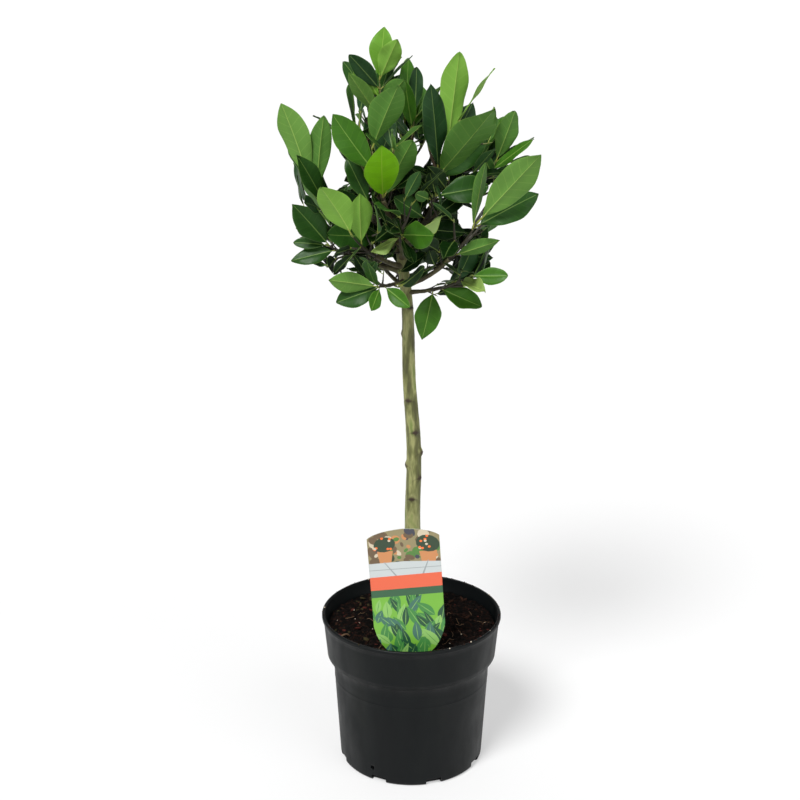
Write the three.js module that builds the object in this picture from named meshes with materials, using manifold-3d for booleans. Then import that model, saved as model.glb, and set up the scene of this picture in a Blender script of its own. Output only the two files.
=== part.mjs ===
// A bay laurel trained as a short standard, in its nursery pot with a plant label.
// Millimetres, +Z up, front towards -Y. The origin is the middle of the pot's flat underside.
import * as THREE from "three";
import Module from "manifold-3d";

const wasm = await Module();
wasm.setup();

// ---------------------------------------------------------------- driving sizes

const GAP = 0.3; // clear between any two nodes
const SMALLEST_EDGE = 0.01; // edges shorter than this are closed up after leaves are fused on
const HEIGHT = 768; // pot's underside to the topmost leaf

// Pot: outer radii and heights of its profile, from the foot up.
const POT_HEIGHT = 165;
const POT_RIM_RADIUS = 95;
const POT_FOOT_RADIUS = 76.5;
const POT_WALL = 1.6;
const POT_BASE = 2.5;
const POT_BODY_TOP = 103; // where the wall turns out into the collar
const POT_BODY_RADIUS = 82.6;
const COLLAR_BOTTOM = 120;
const COLLAR_RADIUS = 89.6;
const SHOULDER_STEPS = 3;
const LIP_HEIGHT = 3.4;
const LIP_OUT = 1.6;
const LIP_EDGE = 0.6; // the lip's top edge is cut back by this much
const FOOT_ROUND = 4; // the foot's lower edge is cut back by this much
const POT_SEGMENTS = 40;
const NOTCHES = 8;
const NOTCH_WIDTH = 17;
const NOTCH_HEIGHT = 7;
const NOTCH_DEPTH = 7;
const SIDE_HOLE = 4; // diameter of the small hole low in the front wall
const SIDE_HOLE_HEIGHT = 16;
const SIDE_HOLE_AZIMUTH = 238;

// Potting soil
const SOIL_TOP = 150;
const SOIL_HUMP = 3.5;
const SOIL_RINGS = 5;
const SOIL_SEGMENTS = 20;

// Plant label, a card whose point is pushed into the soil
const LABEL_WIDTH = 72;
const LABEL_TOP = 291;
const LABEL_SHOULDER = 186;
const LABEL_THICKNESS = 1;
const LABEL_ARCH = 9;
const LABEL_POINT_WIDTH = 16;
const LABEL_DEPTH = 24; // how far its point goes into the soil
const LABEL_Y = -75;
const LABEL_LEAN = 4; // degrees, top towards the left

// Trunk
const TRUNK_FOOT = SOIL_TOP + GAP;
const TRUNK_TOP = 576;
const TRUNK_FOOT_X = 2.5;
const TRUNK_LEAN = 15.5; // how far the top stands left of the foot
const TRUNK_SWAY = 1.1;
const TRUNK_DIAMETER = 18.6;
const TRUNK_TOP_DIAMETER = 10.2;
const TRUNK_FLARE = 6;
const TRUNK_FLARE_HEIGHT = 11;
const TRUNK_SIDES = 10;
const TRUNK_STEPS = 22;
// Scars of pruned side shoots: height, azimuth and how far each stands out.
const KNOTS = [
  [224, 250, 1.2],
  [296, 262, 1.6],
  [318, 318, 1.3],
  [331, 195, 1.8],
  [345, 340, 2.0],
  [368, 285, 1.5],
  [402, 250, 1.2],
  [430, 60, 1.6],
  [470, 150, 1.3],
  [498, 300, 1.2],
];
const KNOT_SPREAD = 4.5;

// Boughs and twigs
const BOUGH_DIAMETER = 6.4;
const BOUGH_TIP_DIAMETER = 4.4;
const BOUGH_SIDES = 5;
const BOUGH_STEPS = 3;
const STEM_DIAMETER = 4.4; // across the corners of a three-sided twig
const STEM_TIP_DIAMETER = 3.0;
const SIDE_DIAMETER = 3.6;
const STEM_STEPS = 3;
const TWIG_SIDES = 3;

// Leaves: length of a full-grown one with its stalk, and shares of that length.
const LEAF = 86;
const LEAF_HALF_WIDTH = 0.2;
const LEAF_STALK = 0.1;
const LEAF_THICKNESS = 1.2; // at the midrib
const STALK_HALF_WIDTH = 0.8;
const BLADE = [
  [LEAF_STALK, 0.1],
  [0.38, 0.93],
  [0.76, 0.82],
];
const LEAF_ROLL = 65; // how far a leaf may turn on its stalk, in degrees
const LEADING_ROLL = 12;
const GOLDEN_ANGLE = 137.5;
const TRIES = 14; // places tried for each leaf before it is skipped
const CLEARANCE = 0.95; // from a leaf's middle surface to the nearest other leaf's
const LIMB_CLEARANCE = 1.0;

// The crown's reach: a ball round its middle.
const CROWN = new THREE.Vector3(-3, 0, 630);
const CROWN_RADIUS = 130;
const LEADING_REACH = 166; // for the leaves that a mass's row places
const OVERHANG = 30; // how far a leaf may lean over the middle between two masses

// Each mass of leaves with its bough. foot is the height at which the bough leaves the trunk, rise its
// angle above level at foot and tip, bough and stem the lengths of the bough and of the mass's stem,
// thick the bough's thickness beside the thickest, lift how much the stem turns up, and sides the number
// of side twigs. leading are the leaves that show most: share of the stem, azimuth, rise, length, the
// azimuth that the upper side faces, and where a leaf is broader than most, how much.
const MASSES = [
  {
    name: "top", foot: 577, azimuth: 182, rise: [77, 84],
    bough: 68, stem: 76, thick: 1, lift: 2, sides: 2, seed: 11,
    leading: [
      [0.96, 50, 78, 58, 280, 1.15],
      [0.72, 205, 64, 56, 280, 0.95],
      [0.85, 220, 45, 50, 290, 0.8],
      [0.96, 320, 62, 46, 100, 1.1],
      [0.45, 222, 46, 70, 60, 0.8],
      [0.62, 300, 60, 52, 100],
      [0.85, 40, 64, 60, 200, 0.7],
    ],
  },
  {
    name: "top_right", foot: 573, azimuth: 45, rise: [74, 80],
    bough: 60, stem: 54, thick: 0.9, lift: 2, sides: 2, seed: 33,
    leading: [
      [0.7, 240, 78, 60, 270, 0.75],
      [0.96, 60, 80, 46, 280, 0.7],
      [0.9, 10, 56, 48, 90, 0.6],
    ],
  },
  {
    name: "upper_right", foot: 569, azimuth: 345, rise: [52, 62],
    bough: 62, stem: 60, thick: 1, lift: 14, sides: 2, seed: 12,
    leading: [
      [0.1, 325, 52, 108, 110],
      [0.6, 60, 79, 90, 100, 0.64],
      [0.2, 260, 68, 92, 290, 0.62],
      [0.5, 30, 66, 84, 250, 0.9],
      [0.96, 8, 58, 66, 170, 0.6],
      [0.05, 20, 35, 66, 280, 0.9],
    ],
  },
  {
    name: "upper_front", foot: 562, azimuth: 245, rise: [46, 58],
    bough: 60, stem: 58, thick: 0.9, lift: 14, sides: 2, seed: 13,
    leading: [
      [0.96, 322, 66, 66, 100, 1.25],
      [0.02, 268, 42, 90, 270, 0.85],
      [0.5, 172, 56, 78, 250, 0.95],
      [0.02, 345, 66, 64, 100, 1.1],
    ],
  },
  {
    name: "upper_left", foot: 572, azimuth: 150, rise: [56, 66],
    bough: 56, stem: 54, thick: 0.9, lift: 12, sides: 3, seed: 14,
    leading: [],
  },
  {
    name: "upper_back", foot: 566, azimuth: 75, rise: [58, 68],
    bough: 58, stem: 54, thick: 0.9, lift: 10, sides: 3, seed: 15,
    leading: [],
  },
  {
    name: "high_left", foot: 556, azimuth: 189, rise: [28, 28],
    bough: 60, stem: 54, thick: 0.9, lift: 38, sides: 2, seed: 16,
    leading: [
      [0.96, 168, 75, 80, 80, 0.9],
      [0.72, 60, 84, 76, 100, 0.75],
      [0.5, 235, 56, 62, 290, 0.9],
      [0.9, 125, 78, 76, 280, 0.65],
    ],
  },
  {
    name: "high_right", foot: 555, azimuth: 7, rise: [38, 36],
    bough: 70, stem: 58, thick: 0.9, lift: 26, sides: 2, seed: 17,
    leading: [
      [0.96, 10, 68, 52, 100],
      [0.75, 340, 40, 60, 200, 0.65],
    ],
  },
  {
    name: "high_inner_right", foot: 560, azimuth: 345, rise: [34, 48],
    bough: 54, stem: 44, thick: 0.8, lift: 18, sides: 2, seed: 18,
    leading: [],
  },
  {
    name: "high_back_left", foot: 552, azimuth: 120, rise: [42, 46],
    bough: 60, stem: 48, thick: 0.9, lift: 20, sides: 3, seed: 19,
    leading: [],
  },
  {
    name: "high_back_right", foot: 548, azimuth: 52, rise: [40, 44],
    bough: 60, stem: 48, thick: 0.9, lift: 20, sides: 3, seed: 20,
    leading: [],
  },
  {
    name: "middle_right", foot: 519, azimuth: 327, rise: [20, 45],
    bough: 60, stem: 50, thick: 0.75, lift: 14, sides: 2, seed: 21,
    leading: [
      [0.96, 344, 49, 92, 100],
      [0.85, 12, 28, 70, 280, 0.9],
      [0.8, 335, 82, 66, 150, 0.8],
      [0.1, 350, 28, 60, 100, 0.9],
    ],
  },
  {
    name: "middle_front", foot: 546, azimuth: 268, rise: [30, 40],
    bough: 42, stem: 36, thick: 0.75, lift: 20, sides: 2, seed: 22,
    leading: [
      [0.3, 312, 8, 44, 275, 1.3],
      [0.1, 350, 28, 48, 0, 0.9],
      [0.2, 200, -24, 34, 300, 0.8],
    ],
  },
  {
    name: "middle_front_left", foot: 538, azimuth: 232, rise: [16, 28],
    bough: 48, stem: 42, thick: 0.75, lift: 16, sides: 2, seed: 23,
    leading: [
      [0.96, 214, 60, 62, 75, 1.15],
      [0.55, 240, 64, 64, 100, 1.25],
    ],
  },
  {
    name: "middle_left", foot: 533, azimuth: 190, rise: [14, 20],
    bough: 44, stem: 38, thick: 0.7, lift: 12, sides: 2, seed: 24,
    leading: [
      [0.9, 200, 56, 60, 280, 1.15],
      [0.96, 173, 6, 34, 270],
      [0.7, 190, -10, 52, 270],
    ],
  },
  {
    name: "middle_back", foot: 541, azimuth: 85, rise: [22, 30],
    bough: 54, stem: 44, thick: 0.8, lift: 22, sides: 3, seed: 25,
    leading: [],
  },
  {
    name: "middle_back_left", foot: 530, azimuth: 152, rise: [18, 26],
    bough: 54, stem: 42, thick: 0.75, lift: 20, sides: 3, seed: 26,
    leading: [],
  },
  {
    name: "inner_right", foot: 557, azimuth: 318, rise: [38, 46],
    bough: 30, stem: 44, thick: 0.7, lift: 24, sides: 2, seed: 31,
    leading: [
      [0.06, 338, 2, 62, 285, 1.2],
      [0.96, 5, 20, 62, 280, 1.2],
      [0.35, 195, 20, 46, 275, 1.3],
    ],
  },
  {
    name: "inner_left", foot: 550, azimuth: 222, rise: [40, 48],
    bough: 28, stem: 42, thick: 0.7, lift: 24, sides: 2, seed: 32,
    leading: [
      [0.06, 204, 0, 62, 265, 1.2],
      [0.96, 180, 22, 60, 260, 1.2],
      [0.9, 180, 68, 64, 280, 0.9],
    ],
  },
  {
    name: "low_right", foot: 512, azimuth: 333, rise: [8, 14],
    bough: 28, stem: 48, thick: 0.6, lift: 20, sides: 2, seed: 27,
    leading: [
      [0.04, 246, -64, 50, 270, 1.35],
      [0.7, 300, -4, 40, 280],
      [0.96, 350, 0, 36, 280, 1.1],
      [0.2, 345, -14, 50, 280, 1.1],
    ],
  },
  {
    name: "low_front", foot: 524, azimuth: 245, rise: [2, 6],
    bough: 34, stem: 28, thick: 0.6, lift: 4, sides: 1, seed: 28,
    leading: [
      [0.7, 195, -16, 46, 270, 1.1],
      [0.8, 222, -34, 38, 285, 1.2],
      [0.5, 330, -30, 34, 270, 1.2],
      [0.9, 192, 12, 50, 100],
    ],
  },
  {
    name: "low_back_right", foot: 526, azimuth: 32, rise: [10, 16],
    bough: 46, stem: 38, thick: 0.7, lift: 16, sides: 3, seed: 29,
    leading: [],
  },
  {
    name: "low_back", foot: 516, azimuth: 115, rise: [6, 14],
    bough: 42, stem: 36, thick: 0.65, lift: 14, sides: 2, seed: 30,
    leading: [],
  },
];

// From this point in front of the plant the crown shows its openings and its leading leaves.
const VIEWPOINT = new THREE.Vector3(-12, -1367, 829);
// Openings that no other leaf crosses: x, height and radius where the line of sight meets the trunk's plane.
const OPENINGS = [
  [-78, 644, 8],
  [-80, 662, 5],
  [-76, 623, 6],
  [8, 646, 6],
  [25, 658, 4],
  [54, 586, 5],
  [69, 608, 3],
  [-20, 532, 8],
  [25, 530, 5],
  [12, 517, 6],
  [28, 681, 3],
  [28, 695, 5],
  [30, 714, 8],
  [27, 746, 10],
  [61, 713, 4],
  [-69, 688, 8],
  [-79, 709, 12],
  [-62, 673, 4],
  [-128, 616, 13],
  [-118, 603, 7],
  [-108, 705, 10],
  [-97, 676, 5],
  [112, 588, 9],
  [90, 577, 4],
  [93, 545, 8],
  [90, 510, 10],
  [56, 497, 10],
  [-108, 528, 12],
  [-89, 518, 8],
  [-39, 508, 6],
  [104, 690, 10],
  [131, 623, 8],
];
const OPENING_MARGIN = 3;
// Shares of a leading leaf that nothing hides, and how far round them.
const LEADING_VIEW = [0.35, 0.6, 0.85];
const LEADING_VIEW_RADIUS = 8;
// Where on a leaf it is tried against them: shares of its length and of its half width.
const SPOTS_ALONG = [0.2, 0.35, 0.5, 0.65, 0.8, 0.95];
const SPOTS_ACROSS = [-0.9, -0.3, 0.3, 0.9];

// ---------------------------------------------------------------- small helpers

const vec = (x, y, z) => new THREE.Vector3(x, y, z);
const radians = THREE.MathUtils.degToRad;
const degrees = THREE.MathUtils.radToDeg;
const mix = (a, b, t) => a + (b - a) * t;

// Repeatable random numbers from 0 to 1, from a whole-number seed.
function randomFrom(seed) {
  let state = seed >>> 0;
  return () => {
    state = (state + 0x6d2b79f5) >>> 0;
    let t = state;
    t = Math.imul(t ^ (t >>> 15), t | 1);
    t ^= t + Math.imul(t ^ (t >>> 7), t | 61);
    return ((t ^ (t >>> 14)) >>> 0) / 4294967296;
  };
}

// The unit vector at an azimuth (from +X towards +Y) and a rise above level, in degrees.
function heading(azimuth, rise) {
  const level = Math.cos(radians(rise));
  return vec(
    level * Math.cos(radians(azimuth)),
    level * Math.sin(radians(azimuth)),
    Math.sin(radians(rise)),
  );
}

// Two unit vectors square to an axis and to each other.
function squareTo(axis) {
  const level = Math.abs(axis.z) > 0.95 ? vec(1, 0, 0) : vec(0, 0, 1);
  const across = level.clone().cross(axis).normalize();
  return [across, axis.clone().cross(across)];
}

// A closed solid from a list of points and triangles of their numbers.
function solidFrom(points, triangles) {
  const vertProperties = new Float32Array(points.flatMap((p) => [p.x, p.y, p.z]));
  const triVerts = new Uint32Array(triangles.flat());
  return new wasm.Manifold(new wasm.Mesh({ numProp: 3, vertProperties, triVerts }));
}

// A solid from rings of points, each ring with the same number of them, closed at both ends.
// A last ring of one point closes the solid to a tip.
function skin(rings) {
  const points = rings.flat();
  const sides = rings[0].length;
  const triangles = [];
  const last = rings.length - 1;
  const tipped = rings[last].length === 1;
  for (let i = 0; i < last; i++) {
    const below = i * sides;
    const above = below + sides;
    for (let j = 0; j < sides; j++) {
      const next = (j + 1) % sides;
      if (tipped && i === last - 1) {
        triangles.push([below + j, below + next, above]);
      } else {
        triangles.push([below + j, below + next, above + next]);
        triangles.push([below + j, above + next, above + j]);
      }
    }
  }
  for (let j = 1; j < sides - 1; j++) {
    triangles.push([0, j + 1, j]);
    if (!tipped) triangles.push([last * sides, last * sides + j, last * sides + j + 1]);
  }
  return solidFrom(points, triangles);
}

// The largest body of a solid: scraps that a cut leaves are dropped.
function largest(solid) {
  const bodies = solid.decompose();
  return bodies.reduce((a, b) => (b.volume() > a.volume() ? b : a));
}

function geometryOf(solid) {
  const { vertProperties, triVerts } = solid.getMesh();
  const geometry = new THREE.BufferGeometry();
  geometry.setAttribute("position", new THREE.BufferAttribute(new Float32Array(vertProperties), 3));
  geometry.setIndex(new THREE.BufferAttribute(new Uint32Array(triVerts), 1));
  geometry.computeVertexNormals();
  return geometry;
}

// The solid of a three.js geometry, with the points that several faces share joined.
function weldedSolid(geometry) {
  const faces = geometry.index ? geometry.toNonIndexed() : geometry;
  const position = faces.getAttribute("position");
  const numbers = new Map();
  const points = [];
  const triangles = [];
  for (let i = 0; i < position.count; i++) {
    const point = vec(position.getX(i), position.getY(i), position.getZ(i));
    const key = point.toArray().map((c) => Math.round(c * 1000)).join();
    if (!numbers.has(key)) {
      numbers.set(key, points.length);
      points.push(point);
    }
    if (i % 3 === 0) triangles.push([]);
    triangles[triangles.length - 1].push(numbers.get(key));
  }
  const sound = triangles.filter(([a, b, c]) => a !== b && b !== c && c !== a);
  const solid = solidFrom(points, sound);
  return solid.volume() > 0 ? solid : solidFrom(points, sound.map(([a, b, c]) => [a, c, b]));
}

// A solid turned from a closed profile of [radius, height] points round the Z axis.
function turned(profile, segments) {
  const lathe = new THREE.LatheGeometry(
    profile.map(([radius, height]) => new THREE.Vector2(radius, height)),
    segments,
  );
  lathe.rotateX(Math.PI / 2);
  return weldedSolid(lathe);
}

// ---------------------------------------------------------------- pot

// Outer radius of the pot's wall at a height in its tapering body.
function potBodyRadius(height) {
  return mix(POT_FOOT_RADIUS, POT_BODY_RADIUS, height / POT_BODY_TOP);
}

// Where the wall turns out from the body into the collar, moved in by the wall's thickness or not.
function potShoulder(inset) {
  const points = [];
  for (let i = 0; i <= SHOULDER_STEPS; i++) {
    const turn = (i / SHOULDER_STEPS) * (Math.PI / 2);
    points.push([
      mix(POT_BODY_RADIUS, COLLAR_RADIUS, 1 - Math.cos(turn)) - inset,
      mix(POT_BODY_TOP, COLLAR_BOTTOM, Math.sin(turn)),
    ]);
  }
  return points;
}

// Outer profile from the edge of the underside to the top of the rim.
function potOutside() {
  return [
    [POT_FOOT_RADIUS - FOOT_ROUND, 0],
    [potBodyRadius(FOOT_ROUND), FOOT_ROUND],
    ...potShoulder(0),
    [POT_RIM_RADIUS - LIP_OUT, POT_HEIGHT - LIP_HEIGHT - LIP_OUT],
    [POT_RIM_RADIUS, POT_HEIGHT - LIP_HEIGHT],
    [POT_RIM_RADIUS, POT_HEIGHT - LIP_EDGE],
    [POT_RIM_RADIUS - LIP_EDGE, POT_HEIGHT],
  ];
}

// Inner profile from the top of the rim down to the corner above the base.
function potInside() {
  return [
    [POT_RIM_RADIUS - LIP_OUT - POT_WALL, POT_HEIGHT],
    ...potShoulder(POT_WALL).reverse(),
    [potBodyRadius(POT_BASE + FOOT_ROUND) - POT_WALL, POT_BASE + FOOT_ROUND],
    [potBodyRadius(POT_BASE) - POT_WALL - FOOT_ROUND / 2, POT_BASE],
  ];
}

// A box with its middle at an azimuth and radius, turned to face outwards.
function blockAt(azimuth, radius, height, size) {
  const block = new THREE.BoxGeometry(size.x, size.y, size.z);
  block.translate(radius, 0, height);
  block.rotateZ(radians(azimuth));
  return weldedSolid(block);
}

function makePot() {
  const shell = turned([[0, 0], ...potOutside(), ...potInside(), [0, POT_BASE]], POT_SEGMENTS);
  const cuts = [];
  for (let i = 0; i < NOTCHES; i++) {
    const size = vec(2 * NOTCH_DEPTH, NOTCH_WIDTH, 2 * NOTCH_HEIGHT);
    cuts.push(blockAt(((i + 0.4) * 360) / NOTCHES, POT_FOOT_RADIUS, 0, size));
  }
  const hole = vec(3 * POT_WALL, SIDE_HOLE, SIDE_HOLE);
  const wall = potBodyRadius(SIDE_HOLE_HEIGHT) - POT_WALL / 2;
  cuts.push(blockAt(SIDE_HOLE_AZIMUTH, wall, SIDE_HOLE_HEIGHT, hole));
  return largest(shell.subtract(wasm.Manifold.union(cuts)));
}

// ---------------------------------------------------------------- soil

// Height of the soil's surface: a low uneven hump, level at the trunk and at the pot's wall.
function soilHeight(x, y, edge) {
  const out = Math.hypot(x, y) / edge;
  const swell = Math.sin(Math.PI * out) * SOIL_HUMP;
  const lumps = Math.sin(x * 0.23 + 1) * Math.cos(y * 0.19) + Math.sin(x * 0.11 - y * 0.27);
  const level = Math.min(1, Math.max(0, (Math.hypot(x, y) - TRUNK_DIAMETER) / TRUNK_DIAMETER));
  return SOIL_TOP + level * (swell * 0.5 + lumps * (1 - out) * 1.6);
}

function makeSoil(label) {
  const inside = potInside().map(([radius, height]) => [radius - GAP, Math.max(height, POT_BASE + GAP)]);
  const [rim, collar] = inside;
  const edge = mix(collar[0], rim[0], (SOIL_TOP - collar[1]) / (rim[1] - collar[1]));
  const profile = inside.slice(1).reverse();
  const points = [vec(0, 0, POT_BASE + GAP)];
  const triangles = [];
  const ring = (radius, height) => {
    for (let j = 0; j < SOIL_SEGMENTS; j++) {
      const turn = (j / SOIL_SEGMENTS) * 2 * Math.PI;
      const x = radius * Math.cos(turn);
      const y = radius * Math.sin(turn);
      points.push(vec(x, y, height === null ? soilHeight(x, y, edge) : height));
    }
  };
  profile.forEach(([radius, height]) => ring(radius, height));
  for (let i = SOIL_RINGS; i > 0; i--) ring((edge * i) / SOIL_RINGS, null);
  points.push(vec(0, 0, SOIL_TOP));
  const rings = profile.length + SOIL_RINGS;
  for (let j = 0; j < SOIL_SEGMENTS; j++) {
    const next = (j + 1) % SOIL_SEGMENTS;
    triangles.push([0, 1 + next, 1 + j]);
    for (let i = 0; i < rings - 1; i++) {
      const below = 1 + i * SOIL_SEGMENTS;
      const above = below + SOIL_SEGMENTS;
      triangles.push([below + j, below + next, above + next]);
      triangles.push([below + j, above + next, above + j]);
    }
    const top = 1 + (rings - 1) * SOIL_SEGMENTS;
    triangles.push([top + j, top + next, points.length - 1]);
  }
  return largest(solidFrom(points, triangles).subtract(label));
}

// ---------------------------------------------------------------- plant label

// The card's outline from the tip of its point, as half of it mirrored to the other side.
function labelOutline(grow) {
  const half = LABEL_WIDTH / 2 + grow;
  const point = LABEL_POINT_WIDTH / 2 + grow;
  const top = LABEL_TOP + grow;
  const tip = SOIL_TOP - LABEL_DEPTH - grow;
  const shape = new THREE.Shape();
  shape.moveTo(point, tip);
  shape.lineTo(point + 2, SOIL_TOP - 2);
  shape.quadraticCurveTo(half - 4, SOIL_TOP + 10, half, LABEL_SHOULDER);
  shape.lineTo(half, top - LABEL_ARCH);
  shape.quadraticCurveTo(half * 0.75, top - 1.5, 0, top);
  shape.quadraticCurveTo(-half * 0.75, top - 1.5, -half, top - LABEL_ARCH);
  shape.lineTo(-half, LABEL_SHOULDER);
  shape.quadraticCurveTo(-half + 4, SOIL_TOP + 10, -point - 2, SOIL_TOP - 2);
  shape.lineTo(-point, tip);
  shape.closePath();
  return shape;
}

// The card, or with grow the room it takes with that much air round it.
function makeLabel(grow = 0) {
  const thick = LABEL_THICKNESS + 2 * grow;
  const card = new THREE.ExtrudeGeometry(labelOutline(grow), {
    depth: thick,
    bevelEnabled: false,
    curveSegments: 7,
  });
  card.translate(0, 0, -thick / 2);
  card.rotateX(Math.PI / 2);
  const turn = new THREE.Matrix4().makeRotationY(-radians(LABEL_LEAN));
  const low = new THREE.Matrix4().makeTranslation(0, 0, -SOIL_TOP);
  const back = new THREE.Matrix4().makeTranslation(0, LABEL_Y, SOIL_TOP);
  card.applyMatrix4(back.multiply(turn).multiply(low));
  return weldedSolid(card);
}

// ---------------------------------------------------------------- limbs

// The trunk's middle at a height: it leans left, more so towards the crown, and sways a little.
function trunkMiddle(height) {
  const up = (height - TRUNK_FOOT) / (TRUNK_TOP - TRUNK_FOOT);
  return vec(
    TRUNK_FOOT_X - TRUNK_LEAN * up ** 3 + TRUNK_SWAY * Math.sin(up * 17),
    TRUNK_SWAY * Math.sin(up * 13 + 2) - TRUNK_SWAY * Math.sin(2),
    height,
  );
}

function trunkRadius(height) {
  const up = (height - TRUNK_FOOT) / (TRUNK_TOP - TRUNK_FOOT);
  const flare = TRUNK_FLARE * Math.exp(-(height - TRUNK_FOOT) / TRUNK_FLARE_HEIGHT);
  return (mix(TRUNK_DIAMETER, TRUNK_TOP_DIAMETER, up) + flare) / 2;
}

// How far the scars of old side shoots lift the bark at a height and azimuth.
function knotRelief(height, azimuth) {
  let relief = 0;
  for (const [at, towards, out] of KNOTS) {
    const round = Math.abs(((azimuth - towards + 540) % 360) - 180);
    const arc = radians(round) * trunkRadius(height);
    relief += out * Math.exp(-((height - at) ** 2 + arc ** 2) / KNOT_SPREAD ** 2);
  }
  return relief;
}

// The trunk from its flat foot up. grow widens it and lengthens its tip.
function makeTrunk(grow = 0) {
  const heights = [0, 0.006, 0.016, 0.035, 0.06].map((up) => mix(TRUNK_FOOT, TRUNK_TOP, up));
  for (let i = 2; i <= TRUNK_STEPS; i++) heights.push(mix(TRUNK_FOOT, TRUNK_TOP, i / TRUNK_STEPS));
  heights[heights.length - 1] += grow;
  const rings = heights.map((height) => {
    const middle = trunkMiddle(Math.min(height, TRUNK_TOP));
    middle.z = height;
    const ring = [];
    for (let j = 0; j < TRUNK_SIDES; j++) {
      const azimuth = (j * 360) / TRUNK_SIDES;
      const radius = trunkRadius(height) + knotRelief(height, azimuth) + grow;
      ring.push(heading(azimuth, 0).multiplyScalar(radius).add(middle));
    }
    return ring;
  });
  return skin(rings);
}

// The points along a limb that sets out at an azimuth and turns from one rise to another.
function limbPath(foot, azimuth, rise, length, steps) {
  const path = [foot.clone()];
  for (let i = 0; i < steps; i++) {
    const angle = mix(rise[0], rise[1], (i + 0.5) / steps);
    path.push(heading(azimuth, angle).multiplyScalar(length / steps).add(path[i]));
  }
  return path;
}

// The rings of points round a path, whose radius goes evenly from the first to the last. Each ring's
// corners follow on from the ring before, so that the limb isn't twisted.
function ringsRound(path, radii, sides) {
  const last = path.length - 1;
  let across = squareTo(path[1].clone().sub(path[0]).normalize())[0];
  return path.map((point, i) => {
    const axis = path[Math.min(i + 1, last)].clone().sub(path[Math.max(i - 1, 0)]).normalize();
    across = across.clone().addScaledVector(axis, -across.dot(axis)).normalize();
    const along = axis.clone().cross(across);
    const radius = mix(radii[0], radii[1], i / last);
    const ring = [];
    for (let j = 0; j < sides; j++) {
      const turn = (j / sides) * 2 * Math.PI;
      ring.push(
        point
          .clone()
          .addScaledVector(across, radius * Math.cos(turn))
          .addScaledVector(along, radius * Math.sin(turn)),
      );
    }
    return ring;
  });
}

// The bough of a mass, as the path of its middle from the trunk's own middle.
function boughPath(mass) {
  const foot = trunkMiddle(Math.min(mass.foot, TRUNK_TOP));
  foot.z = mass.foot;
  return limbPath(foot, mass.azimuth, mass.rise, mass.bough, BOUGH_STEPS);
}

// A bough's radii at its foot and tip. Thin boughs taper less.
function boughRadii(mass) {
  const tip = Math.min(BOUGH_TIP_DIAMETER, BOUGH_DIAMETER * mass.thick * 0.9);
  return [(BOUGH_DIAMETER * mass.thick) / 2, tip / 2];
}

function makeBough(mass, room, grow = 0) {
  const radii = boughRadii(mass).map((radius) => radius + grow);
  return largest(skin(ringsRound(boughPath(mass), radii, BOUGH_SIDES)).subtract(room));
}

// ---------------------------------------------------------------- growth rule

// The stem of a mass and its side twigs: each a path, its radii and how many leaves it may bear.
function growTwigs(mass) {
  const random = randomFrom(mass.seed);
  const bough = boughPath(mass);
  const tip = bough[bough.length - 1];
  const rise = [mass.rise[1], Math.min(89, mass.rise[1] + mass.lift)];
  const foot = heading(mass.azimuth, mass.rise[1]).multiplyScalar(GAP).add(tip);
  const stem = {
    path: limbPath(foot, mass.azimuth, rise, mass.stem, STEM_STEPS),
    radii: [STEM_DIAMETER / 2, STEM_TIP_DIAMETER / 2],
    leaves: 9,
    bare: 0.15,
    number: 0,
    kept: [],
  };
  const twigs = [stem];
  const turn = random() * 360;
  for (let k = 0; k < mass.sides; k++) {
    const at = mix(0.12, 0.5, (k + 0.3 + 0.4 * random()) / mass.sides);
    const [point, axis] = pointAlong(stem.path, at);
    const away = turn + (k * 360) / mass.sides + 50 * (random() - 0.5);
    const out = leaning(axis, away, mix(38, 50, random()));
    const azimuth = degrees(Math.atan2(out.y, out.x));
    const start = degrees(Math.asin(out.z));
    const length = mass.stem * mix(0.62, 0.86, random());
    twigs.push({
      path: limbPath(point, azimuth, [start, Math.min(80, start + mass.lift + 12)], length, STEM_STEPS),
      radii: [SIDE_DIAMETER / 2, STEM_TIP_DIAMETER / 2],
      leaves: 6,
      bare: 0.3,
      number: k + 1,
      kept: [],
    });
  }
  return twigs;
}

// The point and direction at a share of a path's length.
function pointAlong(path, share) {
  const place = Math.min(share, 0.9999) * (path.length - 1);
  const i = Math.floor(place);
  const step = path[i + 1].clone().sub(path[i]);
  return [path[i].clone().addScaledVector(step, place - i), step.normalize()];
}

// The unit vector that leans from an axis by some degrees, towards an angle round it.
function leaning(axis, round, lean) {
  const [across, along] = squareTo(axis);
  return axis
    .clone()
    .multiplyScalar(Math.cos(radians(lean)))
    .addScaledVector(across, Math.sin(radians(lean)) * Math.cos(radians(round)))
    .addScaledVector(along, Math.sin(radians(lean)) * Math.sin(radians(round)));
}

// A leaf from its foot, direction, length and the way its upper side should face, with its small
// irregularities: curl and sweep bend its tip off to the back or side, as shares of its length.
function leafFrom(foot, along, length, facing, random, mostRoll) {
  const up = facing.clone().addScaledVector(along, -facing.dot(along)).normalize();
  const roll = radians(2 * mostRoll * (random() - 0.5));
  const side = along.clone().cross(up);
  const normal = up.multiplyScalar(Math.cos(roll)).addScaledVector(side, Math.sin(roll));
  return {
    foot,
    along,
    normal,
    side: along.clone().cross(normal),
    length,
    halfWidth: length * LEAF_HALF_WIDTH * mix(0.9, 1.16, random()),
    curl: mix(-0.16, 0.05, random()),
    sweep: 0.12 * (random() - 0.5),
    twist: radians(40 * (random() - 0.5)),
  };
}

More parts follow.
